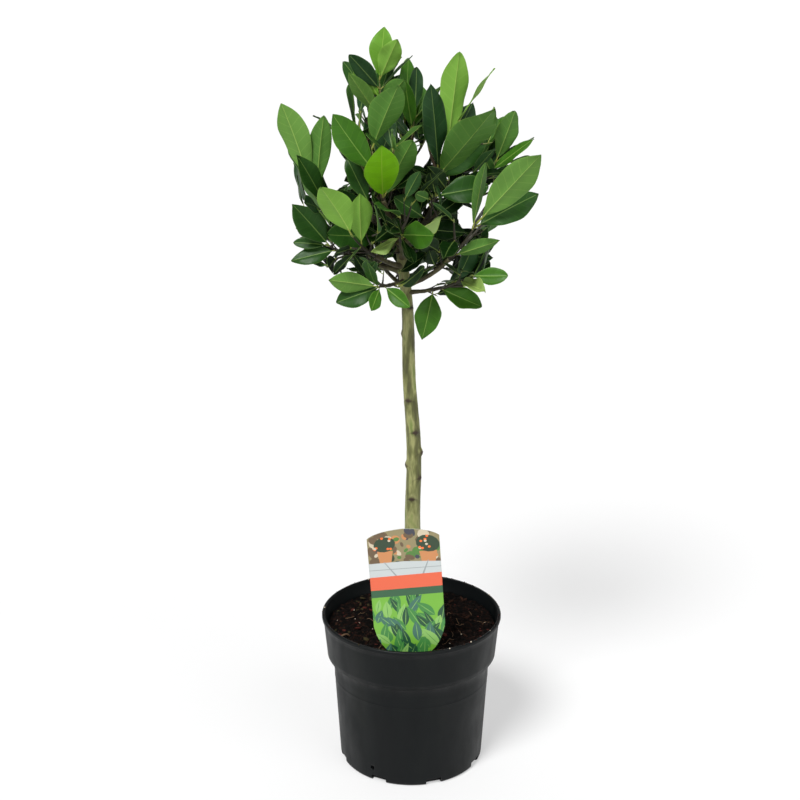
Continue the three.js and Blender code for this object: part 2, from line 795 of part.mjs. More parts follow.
// One try at a leaf that a mass's row places.
function leadingLeaf(twig, [share, azimuth, rise, length, faces, broader = 1], random, attempt) {
  const aside = 4 * attempt * (random() - 0.5);
  const higher = 4 * attempt * (random() - 0.5);
  const along = heading(azimuth + aside, rise + higher);
  const grown = length * (1 - 0.02 * attempt);
  const foot = pointAlong(twig.path, share)[0];
  const leaf = leafFrom(foot, along, grown, heading(faces, 15), random, LEADING_ROLL);
  leaf.halfWidth *= broader;
  return leaf;
}

// One try at leaf number rank of a twig, counted from its tip down.
function leafOn(twig, rank, random, attempt, turn) {
  const share = 0.96 - (0.96 - twig.bare) * (rank / twig.leaves) ** 0.85;
  const [foot, axis] = pointAlong(twig.path, share);
  const lean = mix(16, 46, Math.min(1, rank / 5)) + 16 * (random() - 0.5) + 2 * attempt;
  const round = turn + rank * GOLDEN_ANGLE + 24 * attempt * (random() - 0.5);
  const along = leaning(axis, round, lean);
  const young = rank === 0 ? 0.8 : 1;
  const length = LEAF * young * mix(0.7, 1.16, random()) * (1 - 0.045 * attempt);
  // The upper side faces the twig's own axis, turned a little to the sky and to the crown's middle.
  const inwards = vec(CROWN.x - foot.x, CROWN.y - foot.y, 0).normalize();
  const facing = axis.clone().addScaledVector(vec(0, 0, 1), 0.25).addScaledVector(inwards, 0.35);
  return leafFrom(foot, along, length, facing, random, LEAF_ROLL);
}

// The middle of a leaf at a share of its length, and its left and right edges.
function leafAcross(leaf, share, half) {
  const middle = leaf.foot
    .clone()
    .addScaledVector(leaf.along, share * leaf.length)
    .addScaledVector(leaf.normal, leaf.curl * leaf.length * share * share)
    .addScaledVector(leaf.side, leaf.sweep * leaf.length * share * share);
  const turn = leaf.twist * share;
  const across = leaf.side.clone().multiplyScalar(Math.cos(turn));
  across.addScaledVector(leaf.normal, Math.sin(turn));
  const face = across.clone().cross(leaf.along).normalize();
  const edge = (way) =>
    middle.clone().addScaledVector(across, way * half).addScaledVector(face, LEAF_THICKNESS / 2);
  return { middle, across, left: edge(-1), right: edge(1), face };
}

// What of a leaf may touch other things: its blade as a thin shell, each side moved out by thick.
function leafShell(leaf, thick) {
  const sections = BLADE.map(([share, width]) => leafAcross(leaf, share, width * leaf.halfWidth * 1.08));
  const tip = leafAcross(leaf, 1.03, 0);
  const triangles = [];
  const edges = [];
  for (const way of thick ? [-1, 1] : [0]) {
    const moved = (point, face) => point.clone().addScaledVector(face, way * thick);
    const rows = sections.map((s) => ["left", "middle", "right"].map((k) => moved(s[k], s.face)));
    const end = moved(tip.middle, tip.face);
    rows.forEach((row, i) => {
      const next = rows[i + 1];
      for (const k of [0, 1]) {
        if (next) {
          triangles.push([row[k], row[k + 1], next[k + 1]], [row[k], next[k + 1], next[k]]);
        } else {
          triangles.push([row[k], row[k + 1], end]);
        }
        edges.push([row[k], row[k + 1]]);
      }
      for (const k of [0, 1, 2]) edges.push([row[k], next ? next[k] : end]);
    });
  }
  return bounded(edges, triangles);
}

// The stretches of a limb as obstacles, marked with the number of the mass that the limb belongs to.
function limbShells(path, radii, sides, group) {
  const rings = ringsRound(path, radii, sides);
  const shells = [];
  for (let i = 0; i + 1 < rings.length; i++) {
    const edges = [];
    const triangles = [];
    for (let j = 0; j < sides; j++) {
      const next = (j + 1) % sides;
      const [a, b, c, d] = [rings[i][j], rings[i][next], rings[i + 1][next], rings[i + 1][j]];
      triangles.push([a, b, c], [a, c, d]);
      edges.push([a, b], [a, d], [d, c]);
    }
    shells.push({ ...bounded(edges, triangles), group });
  }
  return shells;
}

// Edges as a point and a step, triangles as a corner and two steps, and a ball round them all.
function bounded(edges, triangles) {
  const points = triangles.flat();
  const middle = vec(0, 0, 0);
  points.forEach((point) => middle.addScaledVector(point, 1 / points.length));
  return {
    edges: edges.map(([p, q]) => [p, q.clone().sub(p)]),
    triangles: triangles.map(([a, b, c]) => [a, b.clone().sub(a), c.clone().sub(a)]),
    points,
    middle,
    radius: Math.max(...points.map((point) => point.distanceTo(middle))),
  };
}

const scratch = { across: vec(0, 0, 0), from: vec(0, 0, 0), square: vec(0, 0, 0) };

// True where an edge passes through a triangle.
function pierces([start, step], [corner, one, two]) {
  const { across, from, square } = scratch;
  across.crossVectors(step, two);
  const scale = one.dot(across);
  if (Math.abs(scale) < 1e-9) return false;
  from.subVectors(start, corner);
  const u = from.dot(across) / scale;
  if (u < 0 || u > 1) return false;
  square.crossVectors(from, one);
  const v = step.dot(square) / scale;
  if (v < 0 || u + v > 1) return false;
  const t = two.dot(square) / scale;
  return t >= 0 && t <= 1;
}

function touching(a, b) {
  if (a.middle.distanceTo(b.middle) > a.radius + b.radius) return false;
  return (
    a.edges.some((edge) => b.triangles.some((triangle) => pierces(edge, triangle))) ||
    b.edges.some((edge) => a.triangles.some((triangle) => pierces(edge, triangle)))
  );
}

// Distance from a point to the nearest of a mass's twigs.
function distanceToTwigs(point, twigs) {
  let nearest = Infinity;
  for (const { path } of twigs) {
    for (let i = 0; i + 1 < path.length; i++) {
      const line = new THREE.Line3(path[i], path[i + 1]);
      const near = line.closestPointToPoint(point, true, vec(0, 0, 0));
      nearest = Math.min(nearest, near.distanceTo(point));
    }
  }
  return nearest;
}

// True if a leaf keeps inside the crown, off the pot, and to its own mass's space.
function keepsToSpace(shell, own, groups, crownReach) {
  return shell.points.every((point) => {
    if (point.distanceTo(CROWN) > crownReach || point.z > HEIGHT) return false;
    const reach = distanceToTwigs(point, own) - OVERHANG;
    return groups.every((twigs) => twigs === own || distanceToTwigs(point, twigs) > reach);
  });
}

// Where the line of sight to a point meets the trunk's plane, with how far back the point is.
function seenAt(point) {
  const scale = -VIEWPOINT.y / (point.y - VIEWPOINT.y);
  return [
    VIEWPOINT.x + (point.x - VIEWPOINT.x) * scale,
    VIEWPOINT.z + (point.z - VIEWPOINT.z) * scale,
    point.y,
  ];
}

// What of a leading leaf is kept in sight, as openings with a depth.
function leadingViews(leaf) {
  return LEADING_VIEW.map((share) => {
    const [x, z, depth] = seenAt(leafAcross(leaf, share, 0).middle);
    return [x, z, LEADING_VIEW_RADIUS, depth];
  });
}

// True where a leaf crosses an opening or stands before a leading leaf.
function hides(leaf, views) {
  return SPOTS_ALONG.some((share) => {
    const { middle, across } = leafAcross(leaf, share, 0);
    return SPOTS_ACROSS.some((side) => {
      const spot = middle.clone().addScaledVector(across, side * leaf.halfWidth);
      const [x, z, depth] = seenAt(spot);
      return views.some(([vx, vz, radius, back]) => Math.hypot(x - vx, z - vz) < radius && depth < back);
    });
  });
}

// The trunk and boughs with some air round them, as obstacles for leaves.
function limbObstacles() {
  const middles = [];
  for (let i = 0; i <= TRUNK_STEPS; i++) {
    middles.push(trunkMiddle(mix(TRUNK_FOOT, TRUNK_TOP, i / TRUNK_STEPS)));
  }
  const widths = [TRUNK_FOOT, TRUNK_TOP].map((height) => trunkRadius(height) + LIMB_CLEARANCE);
  const obstacles = limbShells(middles, widths, BOUGH_SIDES);
  MASSES.forEach((mass, m) => {
    const radii = boughRadii(mass).map((radius) => radius + LIMB_CLEARANCE);
    obstacles.push(...limbShells(boughPath(mass), radii, BOUGH_SIDES, m));
  });
  return obstacles;
}

// All masses' twigs and leaves. A side twig that would touch another mass's limbs is skipped. Leaves go
// on by rank, the outermost of every twig first.
function growCrown() {
  const obstacles = limbObstacles();
  const twigShells = (twig, m) => {
    const radii = twig.radii.map((radius) => radius + LIMB_CLEARANCE);
    return limbShells(twig.path, radii, TWIG_SIDES, m);
  };
  const groups = MASSES.map((mass) => growTwigs(mass));
  groups.forEach(([stem], m) => obstacles.push(...twigShells(stem, m)));
  groups.forEach((twigs, m) => {
    groups[m] = twigs.filter((twig, t) => {
      const shells = t === 0 ? [] : twigShells(twig, m);
      const others = obstacles.filter((other) => other.group !== m);
      if (shells.some((shell) => others.some((other) => touching(shell, other)))) return false;
      obstacles.push(...shells);
      return true;
    });
  });

  const views = OPENINGS.map(([x, z, radius]) => [x, z, radius + OPENING_MARGIN, Infinity]);
  const place = (leaf, m, twig, crownReach) => {
    const shell = leafShell(leaf, CLEARANCE);
    if (!keepsToSpace(shell, groups[m], groups, crownReach)) return false;
    if (obstacles.some((other) => touching(shell, other))) return false;
    obstacles.push(leafShell(leaf, 0));
    twig.kept.push(leaf);
    return true;
  };
  MASSES.forEach((mass, m) =>
    mass.leading.forEach((row, i) => {
      const [stem] = groups[m];
      const random = randomFrom(mass.seed * 523 + i);
      for (let attempt = 0; attempt < TRIES; attempt++) {
        const leaf = leadingLeaf(stem, row, random, attempt);
        if (place(leaf, m, stem, LEADING_REACH)) {
          views.push(...leadingViews(leaf));
          break;
        }
      }
    }),
  );
  const most = Math.max(...groups.flat().map((twig) => twig.leaves));
  for (let rank = 0; rank < most; rank++) {
    MASSES.forEach((mass, m) =>
      groups[m].forEach((twig) => {
        if (rank >= twig.leaves) return;
        const random = randomFrom(mass.seed * 7919 + twig.number * 131 + rank);
        const turn = randomFrom(mass.seed * 31 + twig.number)() * 360;
        for (let attempt = 0; attempt < TRIES; attempt++) {
          const leaf = leafOn(twig, rank, random, attempt, turn);
          if (!hides(leaf, views) && place(leaf, m, twig, CROWN_RADIUS)) break;
        }
      }),
    );
  }
  return groups;
}

// ---------------------------------------------------------------- solids of the foliage

// A leaf: a stalk that starts inside its twig, and a blade that is flat above and keeled below.
function leafSolid(leaf) {
  const section = (share, halfWidth) => {
    const { middle, left, right, face } = leafAcross(leaf, share, halfWidth);
    return [left, right, middle.clone().addScaledVector(face, -LEAF_THICKNESS / 2)];
  };
  // The end that is sunk in the twig is slimmer, so that none of it comes out on the other side.
  const sunk = section(0, STALK_HALF_WIDTH).map((point) => point.lerp(leaf.foot, 0.4));
  return skin([
    sunk,
    ...BLADE.map(([share, width]) => section(share, Math.max(width * leaf.halfWidth, STALK_HALF_WIDTH))),
    [leafAcross(leaf, 1, 0).middle],
  ]);
}

function makeMass(twigs, limbRoom) {
  const pieces = [];
  for (const twig of twigs) {
    pieces.push(skin(ringsRound(twig.path, twig.radii, TWIG_SIDES)));
    twig.kept.forEach((leaf) => pieces.push(leafSolid(leaf)));
  }
  return largest(wasm.Manifold.union(pieces).subtract(limbRoom).simplify(SMALLEST_EDGE));
}

// ---------------------------------------------------------------- materials and assembly

const finish = (color, roughness) => new THREE.MeshStandardMaterial({ color, roughness, metalness: 0 });
const FINISHES = {
  pot: () => finish(0x1d1f21, 0.45),
  soil: () => finish(0x2a1d16, 0.95),
  label: () => finish(0x6aa344, 0.4),
  bark: () => finish(0x7d7f56, 0.85),
  leaf: () => finish(0x47752f, 0.5),
};

const root = new THREE.Group();
root.name = "bay_topiary";

function addNode(name, solid, slot) {
  const mesh = new THREE.Mesh(geometryOf(solid), FINISHES[slot]());
  mesh.name = name;
  mesh.material.name = slot;
  root.add(mesh);
}

const trunkRoom = makeTrunk(GAP);
addNode("pot", makePot(), "pot");
addNode("soil", makeSoil(makeLabel(GAP)), "soil");
addNode("label", makeLabel(), "label");
addNode("trunk", makeTrunk(), "bark");

// Each bough is cut clear of the trunk and of the boughs before it, and each mass clear of all limbs.
let limbRoom = trunkRoom;
for (const mass of MASSES) {
  addNode("bough_" + mass.name, makeBough(mass, limbRoom), "bark");
  limbRoom = limbRoom.add(makeBough(mass, trunkRoom, GAP));
}
growCrown().forEach((twigs, m) => {
  addNode("foliage_" + MASSES[m].name, makeMass(twigs, limbRoom), "leaf");
});

export default root;
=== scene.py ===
"""Looks of a bay laurel grown as a short standard, in its nursery pot with a plant label.

The growth rule works in millimetres, as the part's solids do, and the meshes are made in metres.
"""

import math

import bmesh
import bpy
import numpy as np
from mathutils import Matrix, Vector, noise
from mathutils.geometry import delaunay_2d_cdt


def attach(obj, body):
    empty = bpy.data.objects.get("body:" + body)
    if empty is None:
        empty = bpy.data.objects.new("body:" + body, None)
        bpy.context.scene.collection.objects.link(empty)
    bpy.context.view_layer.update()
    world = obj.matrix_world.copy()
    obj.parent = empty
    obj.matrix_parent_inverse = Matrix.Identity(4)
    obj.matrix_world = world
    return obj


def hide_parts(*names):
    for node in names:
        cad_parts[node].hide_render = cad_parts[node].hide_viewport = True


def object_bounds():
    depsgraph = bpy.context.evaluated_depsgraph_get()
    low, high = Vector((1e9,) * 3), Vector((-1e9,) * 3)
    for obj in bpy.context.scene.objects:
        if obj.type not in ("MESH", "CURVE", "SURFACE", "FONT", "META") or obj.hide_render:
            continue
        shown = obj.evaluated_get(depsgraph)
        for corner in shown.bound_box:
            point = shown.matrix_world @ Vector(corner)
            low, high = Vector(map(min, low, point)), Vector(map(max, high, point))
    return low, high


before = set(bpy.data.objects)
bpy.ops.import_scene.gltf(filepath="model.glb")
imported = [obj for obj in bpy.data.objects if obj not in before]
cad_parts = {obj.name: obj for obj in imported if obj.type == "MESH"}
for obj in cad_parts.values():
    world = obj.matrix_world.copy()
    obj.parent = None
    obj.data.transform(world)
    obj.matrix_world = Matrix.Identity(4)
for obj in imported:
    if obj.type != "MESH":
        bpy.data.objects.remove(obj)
cad_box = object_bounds()

MM = 0.001

# ---------------------------------------------------------------- sizes, in millimetres

HEIGHT = 768
GAP = 0.3

POT_HEIGHT = 165
POT_RIM_RADIUS = 95
POT_FOOT_RADIUS = 76.5
POT_WALL = 1.6
POT_BODY_TOP = 103
POT_BODY_RADIUS = 82.6
COLLAR_BOTTOM = 120
COLLAR_RADIUS = 89.6
LIP_HEIGHT = 3.4
LIP_OUT = 1.6
FOOT_ROUND = 4
NOTCHES = 8
NOTCH_WIDTH = 17
NOTCH_HEIGHT = 7
NOTCH_DEPTH = 7
SIDE_HOLE = 4
SIDE_HOLE_HEIGHT = 16
SIDE_HOLE_AZIMUTH = 238

SOIL_TOP = 150

LABEL_WIDTH = 72
LABEL_TOP = 291
LABEL_SHOULDER = 186
LABEL_ARCH = 9
LABEL_POINT_WIDTH = 16
LABEL_DEPTH = 24
LABEL_Y = -75
LABEL_LEAN = 4

TRUNK_FOOT = SOIL_TOP + GAP
TRUNK_TOP = 576
TRUNK_FOOT_X = 2.5
TRUNK_LEAN = 15.5
TRUNK_SWAY = 1.1
TRUNK_DIAMETER = 18.6
TRUNK_TOP_DIAMETER = 10.2
TRUNK_FLARE = 6
TRUNK_FLARE_HEIGHT = 11
TRUNK_STEPS = 22
# Scars of pruned side shoots: height, azimuth and how far each stands out.
KNOTS = [
    (224, 250, 1.2),
    (296, 262, 1.6),
    (318, 318, 1.3),
    (331, 195, 1.8),
    (345, 340, 2.0),
    (368, 285, 1.5),
    (402, 250, 1.2),
    (430, 60, 1.6),
    (470, 150, 1.3),
    (498, 300, 1.2),
]

BOUGH_DIAMETER = 6.4
BOUGH_TIP_DIAMETER = 4.4
BOUGH_SIDES = 5
BOUGH_STEPS = 3
STEM_DIAMETER = 4.4
STEM_TIP_DIAMETER = 3.0
SIDE_DIAMETER = 3.6
STEM_STEPS = 3
TWIG_SIDES = 3

LEAF = 86
LEAF_HALF_WIDTH = 0.2
LEAF_STALK = 0.1
LEAF_THICKNESS = 1.2
BLADE = [(LEAF_STALK, 0.1), (0.38, 0.93), (0.76, 0.82)]
LEAF_ROLL = 65
LEADING_ROLL = 12
GOLDEN_ANGLE = 137.5
TRIES = 14
CLEARANCE = 0.95
LIMB_CLEARANCE = 1.0

CROWN = np.array([-3.0, 0.0, 630.0])
CROWN_RADIUS = 130
LEADING_REACH = 166
OVERHANG = 30
# Leaves near this point are the oldest and darkest, partly by age and partly by painted shade deep in
# the crown.
CROWN_MIDST = np.array([-3, 0, 580])


def mass(name, foot, azimuth, rise, bough, stem, thick, lift, sides, seed, leading=()):
    """A mass of leaves with its bough, as in the part's solids.

    foot is the height at which the bough leaves the trunk, rise its angle above level at foot and tip,
    bough and stem their lengths, thick the bough's thickness beside the thickest, lift how much the
    stem turns up, and sides the number of side twigs. leading are the leaves that show most: share of
    the stem, azimuth, rise, length, the azimuth that the upper side faces, and how much broader it is.
    """
    return {
        "name": name, "foot": foot, "azimuth": azimuth, "rise": rise, "bough": bough, "stem": stem,
        "thick": thick, "lift": lift, "sides": sides, "seed": seed, "leading": leading,
    }


MASSES = [
    mass("top", 577, 182, (77, 84), 68, 76, 1, 2, 2, 11, (
        (0.96, 50, 78, 58, 280, 1.15),
        (0.72, 205, 64, 56, 280, 0.95),
        (0.85, 220, 45, 50, 290, 0.8),
        (0.96, 320, 62, 46, 100, 1.1),
        (0.45, 222, 46, 70, 60, 0.8),
        (0.62, 300, 60, 52, 100),
        (0.85, 40, 64, 60, 200, 0.7),
    )),
    mass("top_right", 573, 45, (74, 80), 60, 54, 0.9, 2, 2, 33, (
        (0.7, 240, 78, 60, 270, 0.75),
        (0.96, 60, 80, 46, 280, 0.7),
        (0.9, 10, 56, 48, 90, 0.6),
    )),
    mass("upper_right", 569, 345, (52, 62), 62, 60, 1, 14, 2, 12, (
        (0.1, 325, 52, 108, 110),
        (0.6, 60, 79, 90, 100, 0.64),
        (0.2, 260, 68, 92, 290, 0.62),
        (0.5, 30, 66, 84, 250, 0.9),
        (0.96, 8, 58, 66, 170, 0.6),
        (0.05, 20, 35, 66, 280, 0.9),
    )),
    mass("upper_front", 562, 245, (46, 58), 60, 58, 0.9, 14, 2, 13, (
        (0.96, 322, 66, 66, 100, 1.25),
        (0.02, 268, 42, 90, 270, 0.85),
        (0.5, 172, 56, 78, 250, 0.95),
        (0.02, 345, 66, 64, 100, 1.1),
    )),
    mass("upper_left", 572, 150, (56, 66), 56, 54, 0.9, 12, 3, 14),
    mass("upper_back", 566, 75, (58, 68), 58, 54, 0.9, 10, 3, 15),
    mass("high_left", 556, 189, (28, 28), 60, 54, 0.9, 38, 2, 16, (
        (0.96, 168, 75, 80, 80, 0.9),
        (0.72, 60, 84, 76, 100, 0.75),
        (0.5, 235, 56, 62, 290, 0.9),
        (0.9, 125, 78, 76, 280, 0.65),
    )),
    mass("high_right", 555, 7, (38, 36), 70, 58, 0.9, 26, 2, 17, (
        (0.96, 10, 68, 52, 100),
        (0.75, 340, 40, 60, 200, 0.65),
    )),
    mass("high_inner_right", 560, 345, (34, 48), 54, 44, 0.8, 18, 2, 18),
    mass("high_back_left", 552, 120, (42, 46), 60, 48, 0.9, 20, 3, 19),
    mass("high_back_right", 548, 52, (40, 44), 60, 48, 0.9, 20, 3, 20),
    mass("middle_right", 519, 327, (20, 45), 60, 50, 0.75, 14, 2, 21, (
        (0.96, 344, 49, 92, 100),
        (0.85, 12, 28, 70, 280, 0.9),
        (0.8, 335, 82, 66, 150, 0.8),
        (0.1, 350, 28, 60, 100, 0.9),
    )),
    mass("middle_front", 546, 268, (30, 40), 42, 36, 0.75, 20, 2, 22, (
        (0.3, 312, 8, 44, 275, 1.3),
        (0.1, 350, 28, 48, 0, 0.9),
        (0.2, 200, -24, 34, 300, 0.8),
    )),
    mass("middle_front_left", 538, 232, (16, 28), 48, 42, 0.75, 16, 2, 23, (
        (0.96, 214, 60, 62, 75, 1.15),
        (0.55, 240, 64, 64, 100, 1.25),
    )),
    mass("middle_left", 533, 190, (14, 20), 44, 38, 0.7, 12, 2, 24, (
        (0.9, 200, 56, 60, 280, 1.15),
        (0.96, 173, 6, 34, 270),
        (0.7, 190, -10, 52, 270),
    )),
    mass("middle_back", 541, 85, (22, 30), 54, 44, 0.8, 22, 3, 25),
    mass("middle_back_left", 530, 152, (18, 26), 54, 42, 0.75, 20, 3, 26),
    mass("inner_right", 557, 318, (38, 46), 30, 44, 0.7, 24, 2, 31, (
        (0.06, 338, 2, 62, 285, 1.2),
        (0.96, 5, 20, 62, 280, 1.2),
        (0.35, 195, 20, 46, 275, 1.3),
    )),
    mass("inner_left", 550, 222, (40, 48), 28, 42, 0.7, 24, 2, 32, (
        (0.06, 204, 0, 62, 265, 1.2),
        (0.96, 180, 22, 60, 260, 1.2),
        (0.9, 180, 68, 64, 280, 0.9),
    )),
    mass("low_right", 512, 333, (8, 14), 28, 48, 0.6, 20, 2, 27, (
        (0.04, 246, -64, 50, 270, 1.35),
        (0.7, 300, -4, 40, 280),
        (0.96, 350, 0, 36, 280, 1.1),
        (0.2, 345, -14, 50, 280, 1.1),
    )),
    mass("low_front", 524, 245, (2, 6), 34, 28, 0.6, 4, 1, 28, (
        (0.7, 195, -16, 46, 270, 1.1),
        (0.8, 222, -34, 38, 285, 1.2),
        (0.5, 330, -30, 34, 270, 1.2),
        (0.9, 192, 12, 50, 100),
    )),
    mass("low_back_right", 526, 32, (10, 16), 46, 38, 0.7, 16, 3, 29),
    mass("low_back", 516, 115, (6, 14), 42, 36, 0.65, 14, 2, 30),
]

# From this point in front of the plant, the crown shows its openings and its leading leaves.
VIEWPOINT = (-12, -1367, 829)
# Openings that no other leaf crosses: x, height and radius in the trunk's plane, as seen in front.
OPENINGS = [
    (-78, 644, 8),
    (-80, 662, 5),
    (-76, 623, 6),
    (8, 646, 6),
    (25, 658, 4),
    (54, 586, 5),
    (69, 608, 3),
    (-20, 532, 8),
    (25, 530, 5),
    (12, 517, 6),
    (28, 681, 3),
    (28, 695, 5),
    (30, 714, 8),
    (27, 746, 10),
    (61, 713, 4),
    (-69, 688, 8),
    (-79, 709, 12),
    (-62, 673, 4),
    (-128, 616, 13),
    (-118, 603, 7),
    (-108, 705, 10),
    (-97, 676, 5),
    (112, 588, 9),
    (90, 577, 4),
    (93, 545, 8),
    (90, 510, 10),
    (56, 497, 10),
    (-108, 528, 12),
    (-89, 518, 8),
    (-39, 508, 6),
    (104, 690, 10),
    (131, 623, 8),
]
OPENING_MARGIN = 3
# Shares of a leading leaf that nothing hides, and how far round them.
LEADING_VIEW = (0.35, 0.6, 0.85)
LEADING_VIEW_RADIUS = 8

# Short shoots that fill the crown between the source's twigs, in the render alone.
SHOOTS_PER_STEM = 4
SHOOTS_PER_SIDE_TWIG = 2
SHOOTS_PER_BOUGH = 3
SHOOT_LENGTH = (12, 26)
SHOOT_DIAMETERS = (2.4, 1.8)
SHOOT_LEAVES = 5
FINE_LEAF = 0.92
FINE_CLEARANCE = 0.35
# How far the finer leaves may stand past the box of the solids.
REACH_MARGIN = 1

# ---------------------------------------------------------------- small helpers


def mix(a, b, t):
    """The value a share t of the way from a to b."""
    return a + (b - a) * t


def unit(v):
    """A vector's direction, with length 1."""
    return v / math.sqrt(v @ v)


def random_from(seed):
    """Repeatable random numbers from 0 to 1, the same as in the part's solids."""
    state = seed

    def draw():
        nonlocal state
        state = (state + 0x6D2B79F5) & 0xFFFFFFFF
        t = state
        t = ((t ^ (t >> 15)) * (t | 1)) & 0xFFFFFFFF
        t ^= (t + ((t ^ (t >> 7)) * (t | 61) & 0xFFFFFFFF)) & 0xFFFFFFFF
        return (t ^ (t >> 14)) / 4294967296

    return draw


def heading(azimuth, rise):
    """The unit vector at an azimuth (from +X towards +Y) and a rise above level, in degrees."""
    turn, up = math.radians(azimuth), math.radians(rise)
    return np.array([math.cos(up) * math.cos(turn), math.cos(up) * math.sin(turn), math.sin(up)])


def square_to(axis):
    """Two unit vectors square to an axis and to each other."""
    level = np.array([1.0, 0, 0]) if abs(axis[2]) > 0.95 else np.array([0, 0, 1.0])
    across = unit(np.cross(level, axis))
    return across, np.cross(axis, across)


# ---------------------------------------------------------------- limbs


def trunk_middle(height):
    """The trunk's middle at a height: it leans left, more so towards the crown, and sways a little."""
    up = (height - TRUNK_FOOT) / (TRUNK_TOP - TRUNK_FOOT)
    return np.array([
        TRUNK_FOOT_X - TRUNK_LEAN * up**3 + TRUNK_SWAY * math.sin(up * 17),
        TRUNK_SWAY * math.sin(up * 13 + 2) - TRUNK_SWAY * math.sin(2),
        height,
    ])


def trunk_radius(height):
    """The trunk's radius at a height, with the flare at its foot."""
    up = (height - TRUNK_FOOT) / (TRUNK_TOP - TRUNK_FOOT)
    flare = TRUNK_FLARE * math.exp(-(height - TRUNK_FOOT) / TRUNK_FLARE_HEIGHT)
    return (mix(TRUNK_DIAMETER, TRUNK_TOP_DIAMETER, up) + flare) / 2


def limb_path(foot, azimuth, rise, length, steps):
    """The points along a limb that sets out at an azimuth and turns from one rise to another."""
    path = [foot]
    for i in range(steps):
        angle = mix(rise[0], rise[1], (i + 0.5) / steps)
        path.append(path[i] + heading(azimuth, angle) * (length / steps))
    return path


def rings_round(path, radii, sides):
    """Rings of points round a path, each ring's corners following on from the ring before."""
    last = len(path) - 1
    across = square_to(unit(path[1] - path[0]))[0]
    turns = 2 * math.pi * np.arange(sides)[:, None] / sides
    rings = []
    for i, point in enumerate(path):
        axis = unit(path[min(i + 1, last)] - path[max(i - 1, 0)])
        across = unit(across - axis * (across @ axis))
        along = np.cross(axis, across)
        radius = radii[i] if len(radii) > 2 else mix(radii[0], radii[1], i / last)
        rings.append(point + radius * (np.cos(turns) * across + np.sin(turns) * along))
    return np.array(rings)


def bough_path(row):
    """The middle line of a mass's bough, from the trunk out."""
    foot = trunk_middle(min(row["foot"], TRUNK_TOP))
    foot[2] = row["foot"]
    return limb_path(foot, row["azimuth"], row["rise"], row["bough"], BOUGH_STEPS)


def bough_radii(row):
    """Radii of a mass's bough at its foot and tip."""
    tip = min(BOUGH_TIP_DIAMETER, BOUGH_DIAMETER * row["thick"] * 0.9)
    return BOUGH_DIAMETER * row["thick"] / 2, tip / 2


# ---------------------------------------------------------------- growth rule


def grow_twigs(row):
    """The stem of a mass and its side twigs: each a path, its radii and how many leaves it may bear."""
    random = random_from(row["seed"])
    tip = bough_path(row)[-1]
    rise = (row["rise"][1], min(89, row["rise"][1] + row["lift"]))
    foot = tip + heading(row["azimuth"], row["rise"][1]) * GAP
    stem = {
        "path": limb_path(foot, row["azimuth"], rise, row["stem"], STEM_STEPS),
        "radii": (STEM_DIAMETER / 2, STEM_TIP_DIAMETER / 2),
        "leaves": 9,
        "bare": 0.15,
        "number": 0,
        "kept": [],
    }
    twigs = [stem]
    turn = random() * 360
    for k in range(row["sides"]):
        at = mix(0.12, 0.5, (k + 0.3 + 0.4 * random()) / row["sides"])
        point, axis = point_along(stem["path"], at)
        away = turn + k * 360 / row["sides"] + 50 * (random() - 0.5)
        out = leaning(axis, away, mix(38, 50, random()))
        azimuth = math.degrees(math.atan2(out[1], out[0]))
        start = math.degrees(math.asin(out[2]))
        length = row["stem"] * mix(0.62, 0.86, random())
        rise = (start, min(80, start + row["lift"] + 12))
        twigs.append({
            "path": limb_path(point, azimuth, rise, length, STEM_STEPS),
            "radii": (SIDE_DIAMETER / 2, STEM_TIP_DIAMETER / 2),
            "leaves": 6,
            "bare": 0.3,
            "number": k + 1,
            "kept": [],
        })
    return twigs


def point_along(path, share):
    """The point and direction at a share of a path's length."""
    place = min(share, 0.9999) * (len(path) - 1)
    i = int(place)
    step = path[i + 1] - path[i]
    return path[i] + step * (place - i), unit(step)


def leaning(axis, turn, lean):
    """The unit vector that leans from an axis by some degrees, towards an angle round it."""
    across, along = square_to(axis)
    turn, lean = math.radians(turn), math.radians(lean)
    return (
        axis * math.cos(lean)
        + across * (math.sin(lean) * math.cos(turn))
        + along * (math.sin(lean) * math.sin(turn))
    )


def leaf_from(foot, along, length, facing, random, most_roll):
    """A leaf from its foot, direction, length and the way its upper side should face."""
    up = unit(facing - along * (facing @ along))
    roll = math.radians(2 * most_roll * (random() - 0.5))
    side = np.cross(along, up)
    normal = up * math.cos(roll) + side * math.sin(roll)
    return {
        "foot": foot,
        "along": along,
        "normal": normal,
        "side": np.cross(along, normal),
        "length": length,
        "half_width": length * LEAF_HALF_WIDTH * mix(0.9, 1.16, random()),
        "curl": mix(-0.16, 0.05, random()),
        "sweep": 0.12 * (random() - 0.5),
        "twist": math.radians(40 * (random() - 0.5)),
    }


def leading_leaf(twig, row, random, attempt):
    """One try at a leaf that a mass's row places."""
    share, azimuth, rise, length, faces = row[:5]
    aside = 4 * attempt * (random() - 0.5)
    higher = 4 * attempt * (random() - 0.5)
    along = heading(azimuth + aside, rise + higher)
    foot = point_along(twig["path"], share)[0]
    grown = length * (1 - 0.02 * attempt)
    leaf = leaf_from(foot, along, grown, heading(faces, 15), random, LEADING_ROLL)
    leaf["half_width"] *= row[5] if len(row) > 5 else 1
    return leaf


